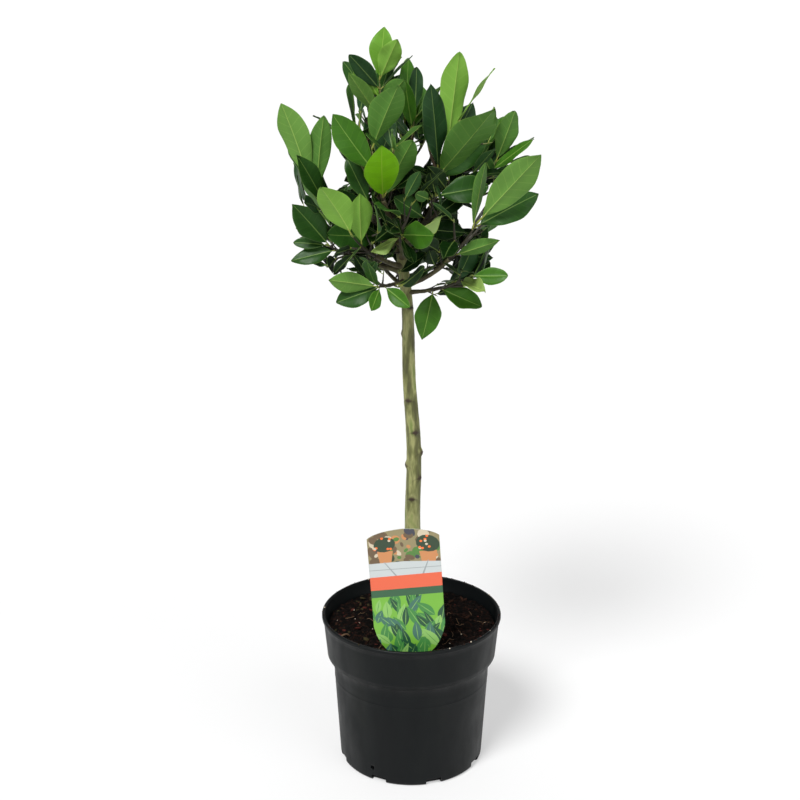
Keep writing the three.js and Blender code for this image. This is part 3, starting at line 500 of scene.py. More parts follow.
def leaf_on(twig, rank, random, attempt, turn):
    """One try at leaf number rank of a twig, counted from its tip down."""
    share = 0.96 - (0.96 - twig["bare"]) * (rank / twig["leaves"]) ** 0.85
    foot, axis = point_along(twig["path"], share)
    lean = mix(16, 46, min(1, rank / 5)) + 16 * (random() - 0.5) + 2 * attempt
    round_axis = turn + rank * GOLDEN_ANGLE + 24 * attempt * (random() - 0.5)
    along = leaning(axis, round_axis, lean)
    young = 0.8 if rank == 0 else 1
    length = LEAF * young * mix(0.7, 1.16, random()) * (1 - 0.045 * attempt)
    length *= twig.get("fine", 1)
    inwards = unit(np.array([CROWN[0] - foot[0], CROWN[1] - foot[1], 0]))
    facing = axis + np.array([0, 0, 0.25]) + inwards * 0.35
    return leaf_from(foot, along, length, facing, random, LEAF_ROLL)


def leaf_across(leaf, share):
    """A leaf's middle at shares of its length, with the directions across it and out of its face."""
    share = np.asarray(share, float)[..., None]
    middle = leaf["foot"] + leaf["along"] * (share * leaf["length"])
    middle = middle + leaf["normal"] * (leaf["curl"] * leaf["length"] * share**2)
    middle = middle + leaf["side"] * (leaf["sweep"] * leaf["length"] * share**2)
    turn = leaf["twist"] * share
    across = leaf["side"] * np.cos(turn) + leaf["normal"] * np.sin(turn)
    face = np.cross(across, leaf["along"])
    return middle, across, face / np.linalg.norm(face, axis=-1, keepdims=True)


SHELL_TIP = 3 * len(BLADE)
SHELL_TRIANGLES = []
SHELL_EDGES = []
for r in range(len(BLADE)):
    is_last = r == len(BLADE) - 1
    for k in (0, 1):
        here, there = 3 * r + k, 3 * r + 3 + k
        if is_last:
            SHELL_TRIANGLES.append((here, here + 1, SHELL_TIP))
        else:
            SHELL_TRIANGLES += [(here, here + 1, there + 1), (here, there + 1, there)]
        SHELL_EDGES.append((here, here + 1))
    SHELL_EDGES += [(3 * r + k, SHELL_TIP if is_last else 3 * r + 3 + k) for k in (0, 1, 2)]


def shell_from(points, edges, triangles, group=None):
    """An obstacle: edges as a start and a step, triangles as a corner and two steps."""
    edges, triangles = np.asarray(edges), np.asarray(triangles)
    a, b, c = (points[triangles[:, i]] for i in range(3))
    start, end = points[edges[:, 0]], points[edges[:, 1]]
    middle = points.mean(0)
    return {
        "edges": np.stack([start, end - start], 1),
        "triangles": np.stack([a, b - a, c - a], 1),
        "points": points,
        "middle": middle,
        "radius": np.linalg.norm(points - middle, axis=1).max(),
        "group": group,
    }


def leaf_shell(leaf, thick):
    """What of a leaf may touch other things: its blade as a thin shell, moved out by thick."""
    shares = np.array([share for share, _ in BLADE] + [1.03])
    halves = np.array([width for _, width in BLADE] + [0]) * leaf["half_width"] * 1.08
    middle, across, face = leaf_across(leaf, shares)
    raised = middle + face * (LEAF_THICKNESS / 2)
    rows = np.stack([raised - across * halves[:, None], middle, raised + across * halves[:, None]], 1)
    points, edges, triangles = [], [], []
    for i, way in enumerate((-1, 1) if thick else (0,)):
        moved = rows + face[:, None] * (way * thick)
        points.append(np.concatenate([moved[:-1].reshape(-1, 3), moved[-1:, 1]]))
        edges.append(np.array(SHELL_EDGES) + i * (SHELL_TIP + 1))
        triangles.append(np.array(SHELL_TRIANGLES) + i * (SHELL_TIP + 1))
    return shell_from(np.concatenate(points), np.concatenate(edges), np.concatenate(triangles))


def limb_shells(path, radii, sides, group=None):
    """The stretches of a limb as obstacles, marked with the number of the mass it belongs to."""
    rings = rings_round(path, radii, sides)
    edges, triangles = [], []
    for j in range(sides):
        n = (j + 1) % sides
        triangles += [(j, n, sides + n), (j, sides + n, sides + j)]
        edges += [(j, n), (j, sides + j), (sides + j, sides + n)]
    return [
        shell_from(np.concatenate([low, high]), edges, triangles, group)
        for low, high in zip(rings[:-1], rings[1:])
    ]


def pierces(edges, triangles):
    """True where any of the edges passes through any of the triangles."""
    start, step = edges[:, None, 0], edges[:, None, 1]
    corner, one, two = (triangles[None, :, i] for i in range(3))
    across = np.cross(step, two)
    scale = (one * across).sum(-1)
    scale = np.where(np.abs(scale) < 1e-9, np.nan, scale)
    offset = start - corner
    u = (offset * across).sum(-1) / scale
    square = np.cross(offset, one)
    v = (step * square).sum(-1) / scale
    t = (two * square).sum(-1) / scale
    return bool(((u >= 0) & (u <= 1) & (v >= 0) & (u + v <= 1) & (t >= 0) & (t <= 1)).any())


class Obstacles:
    """The shells of limbs and leaves that a new twig or leaf may not touch."""

    def __init__(self, shells):
        self.shells = []
        self.balls = np.zeros((8192, 4))
        for shell in shells:
            self.add(shell)

    def add(self, shell):
        self.balls[len(self.shells)] = (*shell["middle"], shell["radius"])
        self.shells.append(shell)

    def touched_by(self, shell, but_group=None):
        """True if a shell touches one of these, but for those of one group."""
        balls = self.balls[: len(self.shells)]
        away = np.linalg.norm(balls[:, :3] - shell["middle"], axis=1)
        near = [self.shells[i] for i in np.nonzero(away <= balls[:, 3] + shell["radius"])[0]]
        near = [other for other in near if but_group is None or other["group"] != but_group]
        if not near:
            return False
        if pierces(shell["edges"], np.concatenate([other["triangles"] for other in near])):
            return True
        return pierces(np.concatenate([other["edges"] for other in near]), shell["triangles"])


def distances_to(points, twigs):
    """Distance from each point to the nearest of some twigs."""
    path = [np.array(twig["path"]) for twig in twigs]
    start = np.concatenate([p[:-1] for p in path])
    step = np.concatenate([p[1:] for p in path]) - start
    offset = points[:, None] - start
    share = np.clip((offset * step).sum(-1) / (step * step).sum(-1), 0, 1)
    return np.linalg.norm(offset - share[..., None] * step, axis=-1).min(1)


def keeps_to_space(points, m, groups, crown_reach):
    """True if a leaf keeps inside the crown and to its own mass's space."""
    if np.linalg.norm(points - CROWN, axis=1).max() > crown_reach or points[:, 2].max() > HEIGHT:
        return False
    reach = distances_to(points, groups[m]) - OVERHANG
    if reach.max() < 0:
        return True
    others = [twigs for n, twigs in enumerate(groups) if n != m]
    return all((distances_to(points, twigs) > reach).all() for twigs in others)


def within_solids(points):
    """True if points keep to the reach of the source's solids."""
    lowest, highest = np.array([list(corner) for corner in cad_box]) / MM
    return bool((points > lowest - REACH_MARGIN).all() and (points < highest + REACH_MARGIN).all())


def seen_at(points):
    """Where the lines of sight to points meet the trunk's plane, and how far back the points are."""
    x, y, z = VIEWPOINT
    scale = -y / (points[:, 1] - y)
    aside, up = x + (points[:, 0] - x) * scale, z + (points[:, 2] - z) * scale
    return np.stack([aside, up, points[:, 1]], 1)


def leaf_spots(leaf):
    """Points spread over a leaf."""
    spots = []
    for share in (0.2, 0.35, 0.5, 0.65, 0.8, 0.95):
        middle, across, _ = leaf_across(leaf, share)
        for side in (-0.9, -0.3, 0.3, 0.9):
            spots.append(middle + across * (side * leaf["half_width"]))
    return np.array(spots)


def leading_views(leaf):
    """What of a leading leaf is kept in sight, as openings with a depth."""
    spots = seen_at(leaf_across(leaf, LEADING_VIEW)[0])
    return [(*spot[:2], LEADING_VIEW_RADIUS, spot[2]) for spot in spots]


def hides(leaf, views):
    """True where a leaf crosses an opening or stands before a leading leaf."""
    spots = seen_at(leaf_spots(leaf))
    views = np.array(views)
    away = np.hypot(spots[:, None, 0] - views[:, 0], spots[:, None, 1] - views[:, 1])
    return bool(((away < views[:, 2]) & (spots[:, None, 2] < views[:, 3])).any())


def twig_shells(twig, m):
    """The shells of a twig of mass m, with the clearance of limbs."""
    radii = [radius + LIMB_CLEARANCE for radius in twig["radii"]]
    return limb_shells(twig["path"], radii, TWIG_SIDES, m)


def grow_crown():
    """All masses' twigs and leaves by the source's rule, the outermost leaf of every twig first."""
    heights = [mix(TRUNK_FOOT, TRUNK_TOP, i / TRUNK_STEPS) for i in range(TRUNK_STEPS + 1)]
    widths = [trunk_radius(height) + LIMB_CLEARANCE for height in (TRUNK_FOOT, TRUNK_TOP)]
    trunk = [trunk_middle(height) for height in heights]
    obstacles = Obstacles(limb_shells(trunk, widths, BOUGH_SIDES))
    for m, row in enumerate(MASSES):
        radii = [radius + LIMB_CLEARANCE for radius in bough_radii(row)]
        for shell in limb_shells(bough_path(row), radii, BOUGH_SIDES, m):
            obstacles.add(shell)

    groups = [grow_twigs(row) for row in MASSES]
    for m, (stem, *_) in enumerate(groups):
        for shell in twig_shells(stem, m):
            obstacles.add(shell)
    for m, (stem, *side_twigs) in enumerate(groups):
        groups[m] = [stem]
        for twig in side_twigs:
            shells = twig_shells(twig, m)
            if any(obstacles.touched_by(shell, m) for shell in shells):
                continue
            groups[m].append(twig)
            for shell in shells:
                obstacles.add(shell)

    views = [(x, z, radius + OPENING_MARGIN, math.inf) for x, z, radius in OPENINGS]

    def place(leaf, m, twig, crown_reach):
        """Adds a leaf to its twig, if it has room there."""
        shell = leaf_shell(leaf, FINE_CLEARANCE if "fine" in twig else CLEARANCE)
        if "fine" in twig and not within_solids(shell["points"]):
            return False
        if crown_reach == CROWN_RADIUS and hides(leaf, views):
            return False
        if not keeps_to_space(shell["points"], m, groups, crown_reach):
            return False
        if obstacles.touched_by(shell):
            return False
        obstacles.add(leaf_shell(leaf, 0))
        twig["kept"].append(leaf)
        return True

    for m, row in enumerate(MASSES):
        stem = groups[m][0]
        for i, leading in enumerate(row["leading"]):
            random = random_from(row["seed"] * 523 + i)
            for attempt in range(TRIES):
                leaf = leading_leaf(stem, leading, random, attempt)
                leaf["leading"] = i
                if place(leaf, m, stem, LEADING_REACH):
                    views += leading_views(leaf)
                    break
    for rank in range(max(twig["leaves"] for twigs in groups for twig in twigs)):
        for m, row in enumerate(MASSES):
            for twig in groups[m]:
                if rank < twig["leaves"]:
                    grow_leaf(row, m, twig, rank, place)
    return groups, obstacles, place


def grow_leaf(row, m, twig, rank, place):
    """Tries leaf number rank of a twig in a few ways, until one has room."""
    random = random_from(row["seed"] * 7919 + twig["number"] * 131 + rank)
    turn = random_from(row["seed"] * 31 + twig["number"])() * 360
    for attempt in range(TRIES):
        leaf = leaf_on(twig, rank, random, attempt, turn)
        leaf["rank"] = rank
        if place(leaf, m, twig, CROWN_RADIUS):
            return


# ---------------------------------------------------------------- finer growth, in the render alone


def shoot_from(row, m, path, share, number, obstacles):
    """A short shoot without its leaves, or None where it would touch another mass's limb."""
    random = random_from(row["seed"] * 947 + number)
    point, axis = point_along(path, share)
    out = leaning(axis, random() * 360, mix(38, 62, random()))
    azimuth = math.degrees(math.atan2(out[1], out[0]))
    start = math.degrees(math.asin(out[2]))
    length = mix(*SHOOT_LENGTH, random())
    twig = {
        "path": limb_path(point, azimuth, (start, min(84, start + 26)), length, STEM_STEPS),
        "radii": (SHOOT_DIAMETERS[0] / 2, SHOOT_DIAMETERS[1] / 2),
        "leaves": SHOOT_LEAVES,
        "bare": 0.2,
        "number": number,
        "fine": FINE_LEAF,
        "kept": [],
    }
    shells = twig_shells(twig, m)
    if any(obstacles.touched_by(shell, m) for shell in shells):
        return None
    for shell in shells:
        obstacles.add(shell)
    return twig


def grow_finer(groups, obstacles, place):
    """Short shoots on every bough, stem and side twig, and their small leaves."""
    shoots = []
    for m, row in enumerate(MASSES):
        hosts = [(bough_path(row), SHOOTS_PER_BOUGH, 0.35)]
        for twig in groups[m]:
            shoots_here = SHOOTS_PER_SIDE_TWIG if twig["number"] else SHOOTS_PER_STEM
            hosts.append((twig["path"], shoots_here, 0.15))
        for h, (path, count, first) in enumerate(hosts):
            for k in range(count):
                share = mix(first, 0.92, (k + 0.5) / count)
                twig = shoot_from(row, m, path, share, 20 + 10 * h + k, obstacles)
                if twig:
                    groups[m].append(twig)
                    shoots.append((m, row, twig))
    for rank in range(SHOOT_LEAVES):
        for m, row, twig in shoots:
            grow_leaf(row, m, twig, rank, place)
    for twigs in groups:
        twigs[:] = [twig for twig in twigs if twig["kept"]]


# ---------------------------------------------------------------- materials


def srgb(red, green, blue):
    """A colour from 0 to 255 as Blender's linear RGBA."""
    shares = [c / 255 for c in (red, green, blue)]
    linear = [((c + 0.055) / 1.055) ** 2.4 if c > 10 / 255 else c / 12.92 for c in shares]
    return (*linear, 1)


def new_material(name):
    """A new material, its node tree and its shader."""
    made = bpy.data.materials.new(name)
    made.use_nodes = True
    shader = made.node_tree.nodes["Principled BSDF"]
    return made, made.node_tree, shader


def noise_at(tree, scale, detail=3, stretch=(1, 1, 1)):
    """A noise node in the object's own metres, drawn out by stretch."""
    place = tree.nodes.new("ShaderNodeTexCoord")
    mapping = tree.nodes.new("ShaderNodeMapping")
    mapping.inputs["Scale"].default_value = stretch
    made = tree.nodes.new("ShaderNodeTexNoise")
    made.inputs["Scale"].default_value = scale
    made.inputs["Detail"].default_value = detail
    tree.links.new(place.outputs["Object"], mapping.inputs["Vector"])
    tree.links.new(mapping.outputs["Vector"], made.inputs["Vector"])
    return made


def set_roughness(tree, shader, low, high, scale, stretch=(1, 1, 1)):
    """Roughness that wanders between two values."""
    varied = noise_at(tree, scale, 3, stretch)
    ranged = tree.nodes.new("ShaderNodeMapRange")
    ranged.inputs["From Min"].default_value = 0.3
    ranged.inputs["From Max"].default_value = 0.7
    ranged.inputs["To Min"].default_value = low
    ranged.inputs["To Max"].default_value = high
    tree.links.new(varied.outputs["Fac"], ranged.inputs["Value"])
    tree.links.new(ranged.outputs["Result"], shader.inputs["Roughness"])


def set_bump(tree, shader, scale, depth, strength=0.6, stretch=(1, 1, 1)):
    """Fine relief: depth is in millimetres."""
    fine = noise_at(tree, scale, 4, stretch)
    bump = tree.nodes.new("ShaderNodeBump")
    bump.inputs["Strength"].default_value = strength
    bump.inputs["Distance"].default_value = depth * MM
    tree.links.new(fine.outputs["Fac"], bump.inputs["Height"])
    tree.links.new(bump.outputs["Normal"], shader.inputs["Normal"])


def set_mottled(tree, shader, colours, scale, stretch=(1, 1, 1), low=0.35, high=0.65):
    """Base colour that wanders among a few colours."""
    cloud = noise_at(tree, scale, 5, stretch)
    ramp = tree.nodes.new("ShaderNodeValToRGB")
    while len(ramp.color_ramp.elements) < len(colours):
        ramp.color_ramp.elements.new(0.5)
    for i, colour in enumerate(colours):
        element = ramp.color_ramp.elements[i]
        element.position = mix(low, high, i / (len(colours) - 1))
        element.color = srgb(*colour)
    tree.links.new(cloud.outputs["Fac"], ramp.inputs["Fac"])
    tree.links.new(ramp.outputs["Color"], shader.inputs["Base Color"])
    return ramp


def plain_material(name, colour, rough=(0.4, 0.55), bump=(600, 0.12), specular=0.5):
    """One plain colour with its own gloss and fine relief."""
    made, tree, shader = new_material(name)
    shader.inputs["Base Color"].default_value = srgb(*colour)
    shader.inputs["Specular IOR Level"].default_value = specular
    set_roughness(tree, shader, *rough, bump[0] / 3)
    set_bump(tree, shader, *bump)
    return made


# Colours of the upper and lower side, from the oldest leaves to the youngest, and of a few pale ones;
# the darkest, "inner", is painted shade on the old leaves deep in the crown.
LEAF_TINTS = {
    "inner": ((11, 34, 6), (17, 42, 10)),
    "deep": ((31, 62, 29), (46, 82, 38)),
    "dark": ((34, 70, 19), (52, 90, 32)),
    "leathery": ((54, 98, 22), (72, 114, 42)),
    "matt": ((66, 110, 36), (86, 126, 50)),
    "fresh": ((90, 138, 34), (108, 152, 56)),
    "young": ((106, 166, 6), (112, 166, 14)),
    "pale": ((118, 144, 70), (132, 156, 92)),
}
# Darkest first: a leaf's place in this list stands for its age and, deep in the crown, for painted
# shade.
TINTS_BY_AGE_AND_SHADE = ("inner", "deep", "dark", "leathery", "matt", "fresh")
GLOSSY_TINTS = ("inner", "deep", "dark", "leathery")
VEIN_TOWARDS = (170, 190, 96)
PETIOLE = (132, 140, 56)


def paler(colour, share):
    """A leaf's colour, part of the way to that of its veins."""
    return tuple(mix(a, b, share) for a, b in zip(colour, VEIN_TOWARDS))


def leaf_materials():
    """All materials of the leaves by slot name."""
    made = {"petiole": plain_material("petiole", PETIOLE, (0.4, 0.55))}
    for tint, (upper, lower) in LEAF_TINTS.items():
        is_glossy = tint in GLOSSY_TINTS
        rough = (0.36, 0.5) if is_glossy else (0.46, 0.6)
        gloss = {"inner": 0.05}.get(tint, 0.16 if is_glossy else 0.24)
        shaded = tuple(c * 0.965 for c in upper)
        for part, name, colour, roughness, bump, specular in (
            ("", "leaf_", upper, rough, (420, 0.16), gloss),
            ("_shade", "leaf_shade_", shaded, rough, (420, 0.16), gloss),
            ("_vein", "vein_", paler(upper, 0.055), rough, (700, 0.06), gloss),
            ("_rib", "rib_", paler(upper, 0.42), (0.45, 0.55), (700, 0.06), 0.3),
            # The pale edge is partly the leaf's own pale rim and partly a painted highlight along it.
            ("_edge", "edge_", paler(upper, 0.3), (0.45, 0.6), (700, 0.06), 0.3),
            ("_lower", "underside_", lower, (0.58, 0.72), (520, 0.2), 0.22),
            ("_lower_vein", "undervein_", paler(lower, 0.12), (0.55, 0.7), (700, 0.1), 0.22),
            ("_lower_rib", "underrib_", paler(lower, 0.5), (0.5, 0.65), (700, 0.1), 0.25),
        ):
            made[tint + part] = plain_material(name + tint, colour, roughness, bump, specular)
    return made


# ---------------------------------------------------------------- meshes

# Bare margin round what lies in one cell of an atlas, as a share of the cell.
CELL_INSET = 0.04


class Soup:
    """Points and faces of many small forms, joined into one mesh; a face's fourth corner may be -1."""

    def __init__(self):
        self.points, self.faces, self.slots, self.uvs = [], [], [], []
        self.count = 0

    def add(self, points, faces, slots, uvs):
        """slots is a slot name for every face, uvs a place for every point."""
        faces = np.asarray(faces, int)
        self.points.append(np.asarray(points, float))
        self.faces.append(np.where(faces >= 0, faces + self.count, -1))
        self.slots.extend(slots)
        self.uvs.append(np.asarray(uvs, float))
        self.count += len(points)

    def build(self, name, materials, smooth=True):
        """The mesh object, with the materials of the slots that its faces name."""
        points = np.concatenate(self.points) * MM
        faces = np.concatenate(self.faces)
        real = faces >= 0
        corners = faces[real]
        totals = real.sum(1)
        mesh = bpy.data.meshes.new(name)
        mesh.vertices.add(len(points))
        mesh.vertices.foreach_set("co", points.astype(np.float32).ravel())
        mesh.loops.add(len(corners))
        mesh.loops.foreach_set("vertex_index", corners.astype(np.int32))
        mesh.polygons.add(len(faces))
        starts = np.concatenate([[0], np.cumsum(totals)[:-1]])
        mesh.polygons.foreach_set("loop_start", starts.astype(np.int32))
        used = list(dict.fromkeys(self.slots))
        place = {slot: i for i, slot in enumerate(used)}
        for slot in used:
            mesh.materials.append(materials[slot])
        mesh.polygons.foreach_set("material_index", np.array([place[s] for s in self.slots], np.int32))
        mesh.polygons.foreach_set("use_smooth", np.full(len(faces), smooth))
        layer = mesh.uv_layers.new(name="OFBake")
        layer.data.foreach_set("uv", np.concatenate(self.uvs)[corners].astype(np.float32).ravel())
        mesh.update()
        mesh.validate()
        made = bpy.data.objects.new(name, mesh)
        bpy.context.scene.collection.objects.link(made)
        return made


def band_faces(rings, sides):
    """Faces between rings of points that follow on from each other, each ring closed."""
    faces = []
    for low in range(0, (rings - 1) * sides, sides):
        for j in range(sides):
            n = (j + 1) % sides
            faces.append((low + j, low + n, low + sides + n, low + sides + j))
    return faces


def cell_uv(uv, cell, cells_across):
    """Places from 0 to 1 moved into one cell of an atlas."""
    row, column = divmod(cell, cells_across)
    return (np.array([column, row]) + CELL_INSET + np.asarray(uv) * (1 - 2 * CELL_INSET)) / cells_across


def smooth_path(path, steps):
    """Points on a smooth curve through a path's points."""
    path = np.array(path)
    ends = np.concatenate([[2 * path[0] - path[1]], path, [2 * path[-1] - path[-2]]])
    made = []
    for i in range(len(path) - 1):
        a, b, c, d = ends[i : i + 4]
        for k in range(steps):
            t = k / steps
            square, cube = 2 * a - 5 * b + 4 * c - d, 3 * b - a - 3 * c + d
            made.append(0.5 * (2 * b + (c - a) * t + square * t**2 + cube * t**3))
    made.append(path[-1])
    return np.array(made)


def add_tube(soup, path, radii, sides, slots, cell, cells_across, relief=None):
    """A limb along a path; slots names the slot of each stretch, relief moves the rings' points out."""
    rings = rings_round(list(path), radii, sides)
    middles = np.array(path)[:, None]
    if relief is not None:
        out = rings - middles
        rings = middles + out * (1 + relief / np.linalg.norm(out, axis=2))[..., None]
    count = len(path)
    points = np.concatenate([rings.reshape(-1, 3), [path[0]], [path[-1]]])
    uv = np.stack(np.meshgrid(np.arange(sides) / sides, np.arange(count) / count), -1).reshape(-1, 2)
    uv = np.concatenate([uv, [[0.5, 0]], [[0.5, 1]]])
    faces = band_faces(count, sides)
    slots = [slots] * (count - 1) if isinstance(slots, str) else slots
    names = [slot for slot in slots for _ in range(sides)]
    foot, tip, top = count * sides, count * sides + 1, (count - 1) * sides
    for j in range(sides):
        n = (j + 1) % sides
        faces.append((n, j, foot, -1))
        faces.append((top + j, top + n, tip, -1))
        names += [names[0], names[-1]]
    soup.add(points, faces, names, cell_uv(uv, cell, cells_across))


# ---------------------------------------------------------------- leaves

LEAF_DEPTH = 0.45
RIB_HALF_WIDTH = 0.55
RIB_RISE = 0.35
MARGIN_WIDTH = 0.35
VEIN_WIDTH = 0.011
QUILTING = 0.16
PETIOLE_RADII = (1.15, 0.75)
# Places across half a blade, from the rib's side to the edge; the last but one is the margin's inside.
MARGIN_PLACE = 0.94
ROW_PLACES = (0, 0.38, 0.74, MARGIN_PLACE, 1)
RIPPLES = 2.6
# The side veins start over this stretch of the blade's length and slant this far towards its tip.
VEINS_FROM = 0.08
VEINS_OVER = 0.82
VEIN_SLANT = 0.13
# Leaves at least this long have more side veins.
LONG_LEAF = 55
# How the few pale leaves curl.
CURLED = {"fold": 0.75, "wave": 2.6}

# Tints of the leading leaves, by mass and place in its row.
LEADING_TINTS = {
    "top": ("fresh", "fresh", "deep", "fresh", "matt", "leathery", "deep"),
    "top_right": ("leathery", "deep", "dark"),
    "upper_right": ("leathery", "fresh", "deep", "deep", "fresh", "dark"),
    "upper_front": ("leathery", "young", "leathery", "leathery"),
    "high_left": ("matt", "leathery", "dark", "dark"),
    "high_right": ("leathery", "leathery"),
    "middle_right": ("matt", "dark", "leathery", "leathery"),
    "middle_front": ("leathery", "pale", "pale"),
    "middle_front_left": ("fresh", "fresh"),
    "middle_left": ("dark", "dark", "dark"),
    # The "inner" tint of these leading leaves is painted shade on leaves in the crown's dark middle.
    "inner_right": ("inner", "dark", "dark"),
    "inner_left": ("dark", "inner", "dark"),
    "low_right": ("leathery", "pale", "leathery", "leathery"),
    "low_front": ("dark", "leathery", "leathery", "matt"),
}


def blade_width(share, widest, blunt):
    """Half the blade's width, as a share of the most, at a share of its length."""
    if share < widest:
        width = np.sin(np.pi / 2 * (share / widest)) ** 0.85
    else:
        falling = min((share - widest) / (1 - widest), 1)
        width = np.cos(np.pi / 2 * falling) ** mix(0.95, 0.55, blunt)
    return max(float(width), 0.05 if share < 1 else 0)


def blade_rows(veins):
    """Shares of the blade's length for its rows of points, and which strips between them are veins."""
    shares, is_vein = [0.0, 0.05], [False]
    pitch = VEINS_OVER / veins
    for k in range(veins):
        start = VEINS_FROM + k * pitch
        shares += [start, start + VEIN_WIDTH, start + 0.5 * pitch]
        is_vein += [False, True, False]
    shares += [0.93, 0.975, 1.0]
    is_vein += [False, False, False]
    return np.array(shares), is_vein


def half_row(leaf, share, way, manner):
    """One row's points on one side of the midrib, from the rib to the edge.

    Each is how far it lies aside, its share of the blade's length, how far out it is from -1 to 1, and
    its kind.
    """
    slant = VEIN_SLANT * np.sin(np.pi * share) ** 0.6
    row = []
    for out in ROW_PLACES:
        at = share + slant * out
        half = blade_width(at, manner["widest"], manner["blunt"]) * leaf["half_width"]
        bulge = manner["ripple"] * math.sin(2 * math.pi * (RIPPLES * at + manner["phases"][way > 0]))
        half *= 1 + bulge + manner["uneven"] * way
        rib = min(RIB_HALF_WIDTH * (1 - 0.65 * share), 0.3 * half)
        margin = min(MARGIN_WIDTH, 0.2 * half)
        if out == 1:
            x = half
        elif out == MARGIN_PLACE:
            x = half - margin
        else:
            x = mix(rib, half - margin, out)
        row.append((way * x, at, way * out, "edge" if out == 1 else "blade"))
    return row


def blade_layout(leaf, shares, manner):
    """The flat places of a blade's points, row by row and from left to right, and last its tip."""
    flat = []
    for share in shares[:-1]:
        row = half_row(leaf, share, -1, manner) + half_row(leaf, share, 1, manner)
        row.sort(key=lambda place: place[0])
        row.insert(len(ROW_PLACES), (0, share, 0, "rib"))
        flat += row
    flat.append((0, 1, 0, "edge"))
    return flat


def blade_surface(leaf, flat, veins, manner, side):
    """Points of the leaf's upper (side 1) or lower (side -1) face, and their places in its cell."""
    x, at, out = (np.array([place[axis] for place in flat], float) for axis in range(3))
    is_edge = np.array([kind == "edge" for *_, kind in flat])
    is_rib = np.array([kind == "rib" for *_, kind in flat])
    middle, across, face = leaf_across(leaf, LEAF_STALK + (1 - LEAF_STALK) * at)
    first, second, waves = manner["phases"]
    phase = np.where(out > 0, second, first) + waves * at
    rise = manner["fold"] * np.abs(x) + manner["wave"] * out**2 * np.sin(2 * np.pi * phase)
    quilt = np.sin(np.pi * np.mod((at - VEINS_FROM) * veins / VEINS_OVER - 0.16 * np.abs(out), 1))
    rise = rise + quilt * QUILTING * (1 - out**4)
    skin = np.where(is_edge, 0, LEAF_DEPTH / 2) * side
    ridge = np.where(is_rib, RIB_RISE * (1.8 if side < 0 else 1) * (1 - 0.7 * at), 0) * side
    points = middle + across * x[:, None] + face * (rise + skin + ridge)[:, None]
    uv = np.stack([0.5 + 0.5 * x / (leaf["half_width"] * 1.05), at], 1)
    return points, uv


def blade_faces(is_vein, tint, side):
    """The faces of one side of a blade and the slot of each."""
    across = 2 * len(ROW_PLACES) + 1
    tip = len(is_vein) * across
    whole = tint if side > 0 else tint + "_lower"
    faces, names = [], []
    for k, veined in enumerate(is_vein):
        for c in range(across - 1):
            a, b = k * across + c, k * across + c + 1
            if k < len(is_vein) - 1:
                face = (a, b, b + across, a + across)
                faces.append(face if side > 0 else face[::-1])
            else:
                faces.append((a, b, tip, -1) if side > 0 else (b, a, tip, -1))
            # The outermost strips take the pale edge: partly the leaf's own rim, partly a painted
            # highlight.
            if c in (0, across - 2):
                names.append(tint + "_edge")
            elif c in (across // 2 - 1, across // 2):
                names.append(whole + "_rib")
            elif veined:
                names.append(whole + "_vein")
            elif side > 0 and (k // 3 + c // 5) % 2:
                names.append(tint + "_shade")
            else:
                names.append(whole)
    return faces, names


def add_leaf(soup, leaf, tint, random, cell, cells_across):
    """One leaf: upper and lower face with rib, veins and margin, and its petiole."""
    veins = 7 if leaf["length"] > LONG_LEAF else 5
    shares, is_vein = blade_rows(veins)
    manner = {
        "widest": mix(0.46, 0.62, random()),
        "blunt": random(),
        "fold": mix(0.04, 0.3, random()),
        "wave": mix(0.5, 2.3, random()) * leaf["length"] / 80,
        "phases": (random(), random(), mix(1.1, 2.3, random())),
        "ripple": mix(0.01, 0.045, random()),
        "uneven": 0.07 * (random() - 0.5),
    }
    if tint == "pale":
        manner |= CURLED
    flat = blade_layout(leaf, shares, manner)
    for side in (1, -1):
        points, uv = blade_surface(leaf, flat, veins, manner, side)
        faces, names = blade_faces(is_vein, tint, side)
        soup.add(points, faces, names, cell_uv(uv, 2 * cell + (side < 0), cells_across))
    add_petiole(soup, leaf, cell, cells_across)


def add_petiole(soup, leaf, cell, cells_across):
    """The stalk of a leaf, which thins out along the underside of its rib."""
    shares = np.array([0, 0.035, 0.07, LEAF_STALK, LEAF_STALK + 0.07])
    middle, _, face = leaf_across(leaf, shares)
    lowered = middle - face * (LEAF_DEPTH * np.array([0, 0.3, 0.6, 0.8, 0.9]))[:, None]
    size = min(1, leaf["length"] / 70)
    radii = [mix(*PETIOLE_RADII, share) * size for share in (0, 0.3, 0.6, 0.9)] + [0.2]
    add_tube(soup, lowered, radii, 6, "petiole", 2 * cell, cells_across)


# A leaf's age, with painted shade deep in the crown, as a place among the leaf tints, darkest first: at
# the crown's midst and at its radius, the most that a spray and a single leaf add or differ by, and
# what the leaf at a twig's tip adds.
AGE_AND_SHADE_BY_DEPTH = (-3.3, 1.7)
AGE_OF_SPRAY = 1.8
AGE_OF_LEAF = 1.1
AGE_OF_TIP = 0.9


def leaf_tint(row, twig, leaf, random):
    """The tint of a leaf: listed for a leading one, else the spray's own, younger at the tip."""
    if "leading" in leaf and row["name"] in LEADING_TINTS:
        return LEADING_TINTS[row["name"]][leaf["leading"]]
    spray = random_from(row["seed"] * 71 + twig["number"])() * AGE_OF_SPRAY
    middle = leaf["foot"] + leaf["along"] * leaf["length"] / 2
    outer = np.linalg.norm(middle - CROWN_MIDST) / CROWN_RADIUS
    young = AGE_OF_TIP if leaf.get("rank", 3) == 0 else 0
    # Nearer the crown's midst a leaf takes a darker tint, partly for age and partly as painted shade.
    level = spray + young + AGE_OF_LEAF * (random() - 0.5) + mix(*AGE_AND_SHADE_BY_DEPTH, outer)
    return TINTS_BY_AGE_AND_SHADE[int(min(max(level, 0), len(TINTS_BY_AGE_AND_SHADE) - 1))]


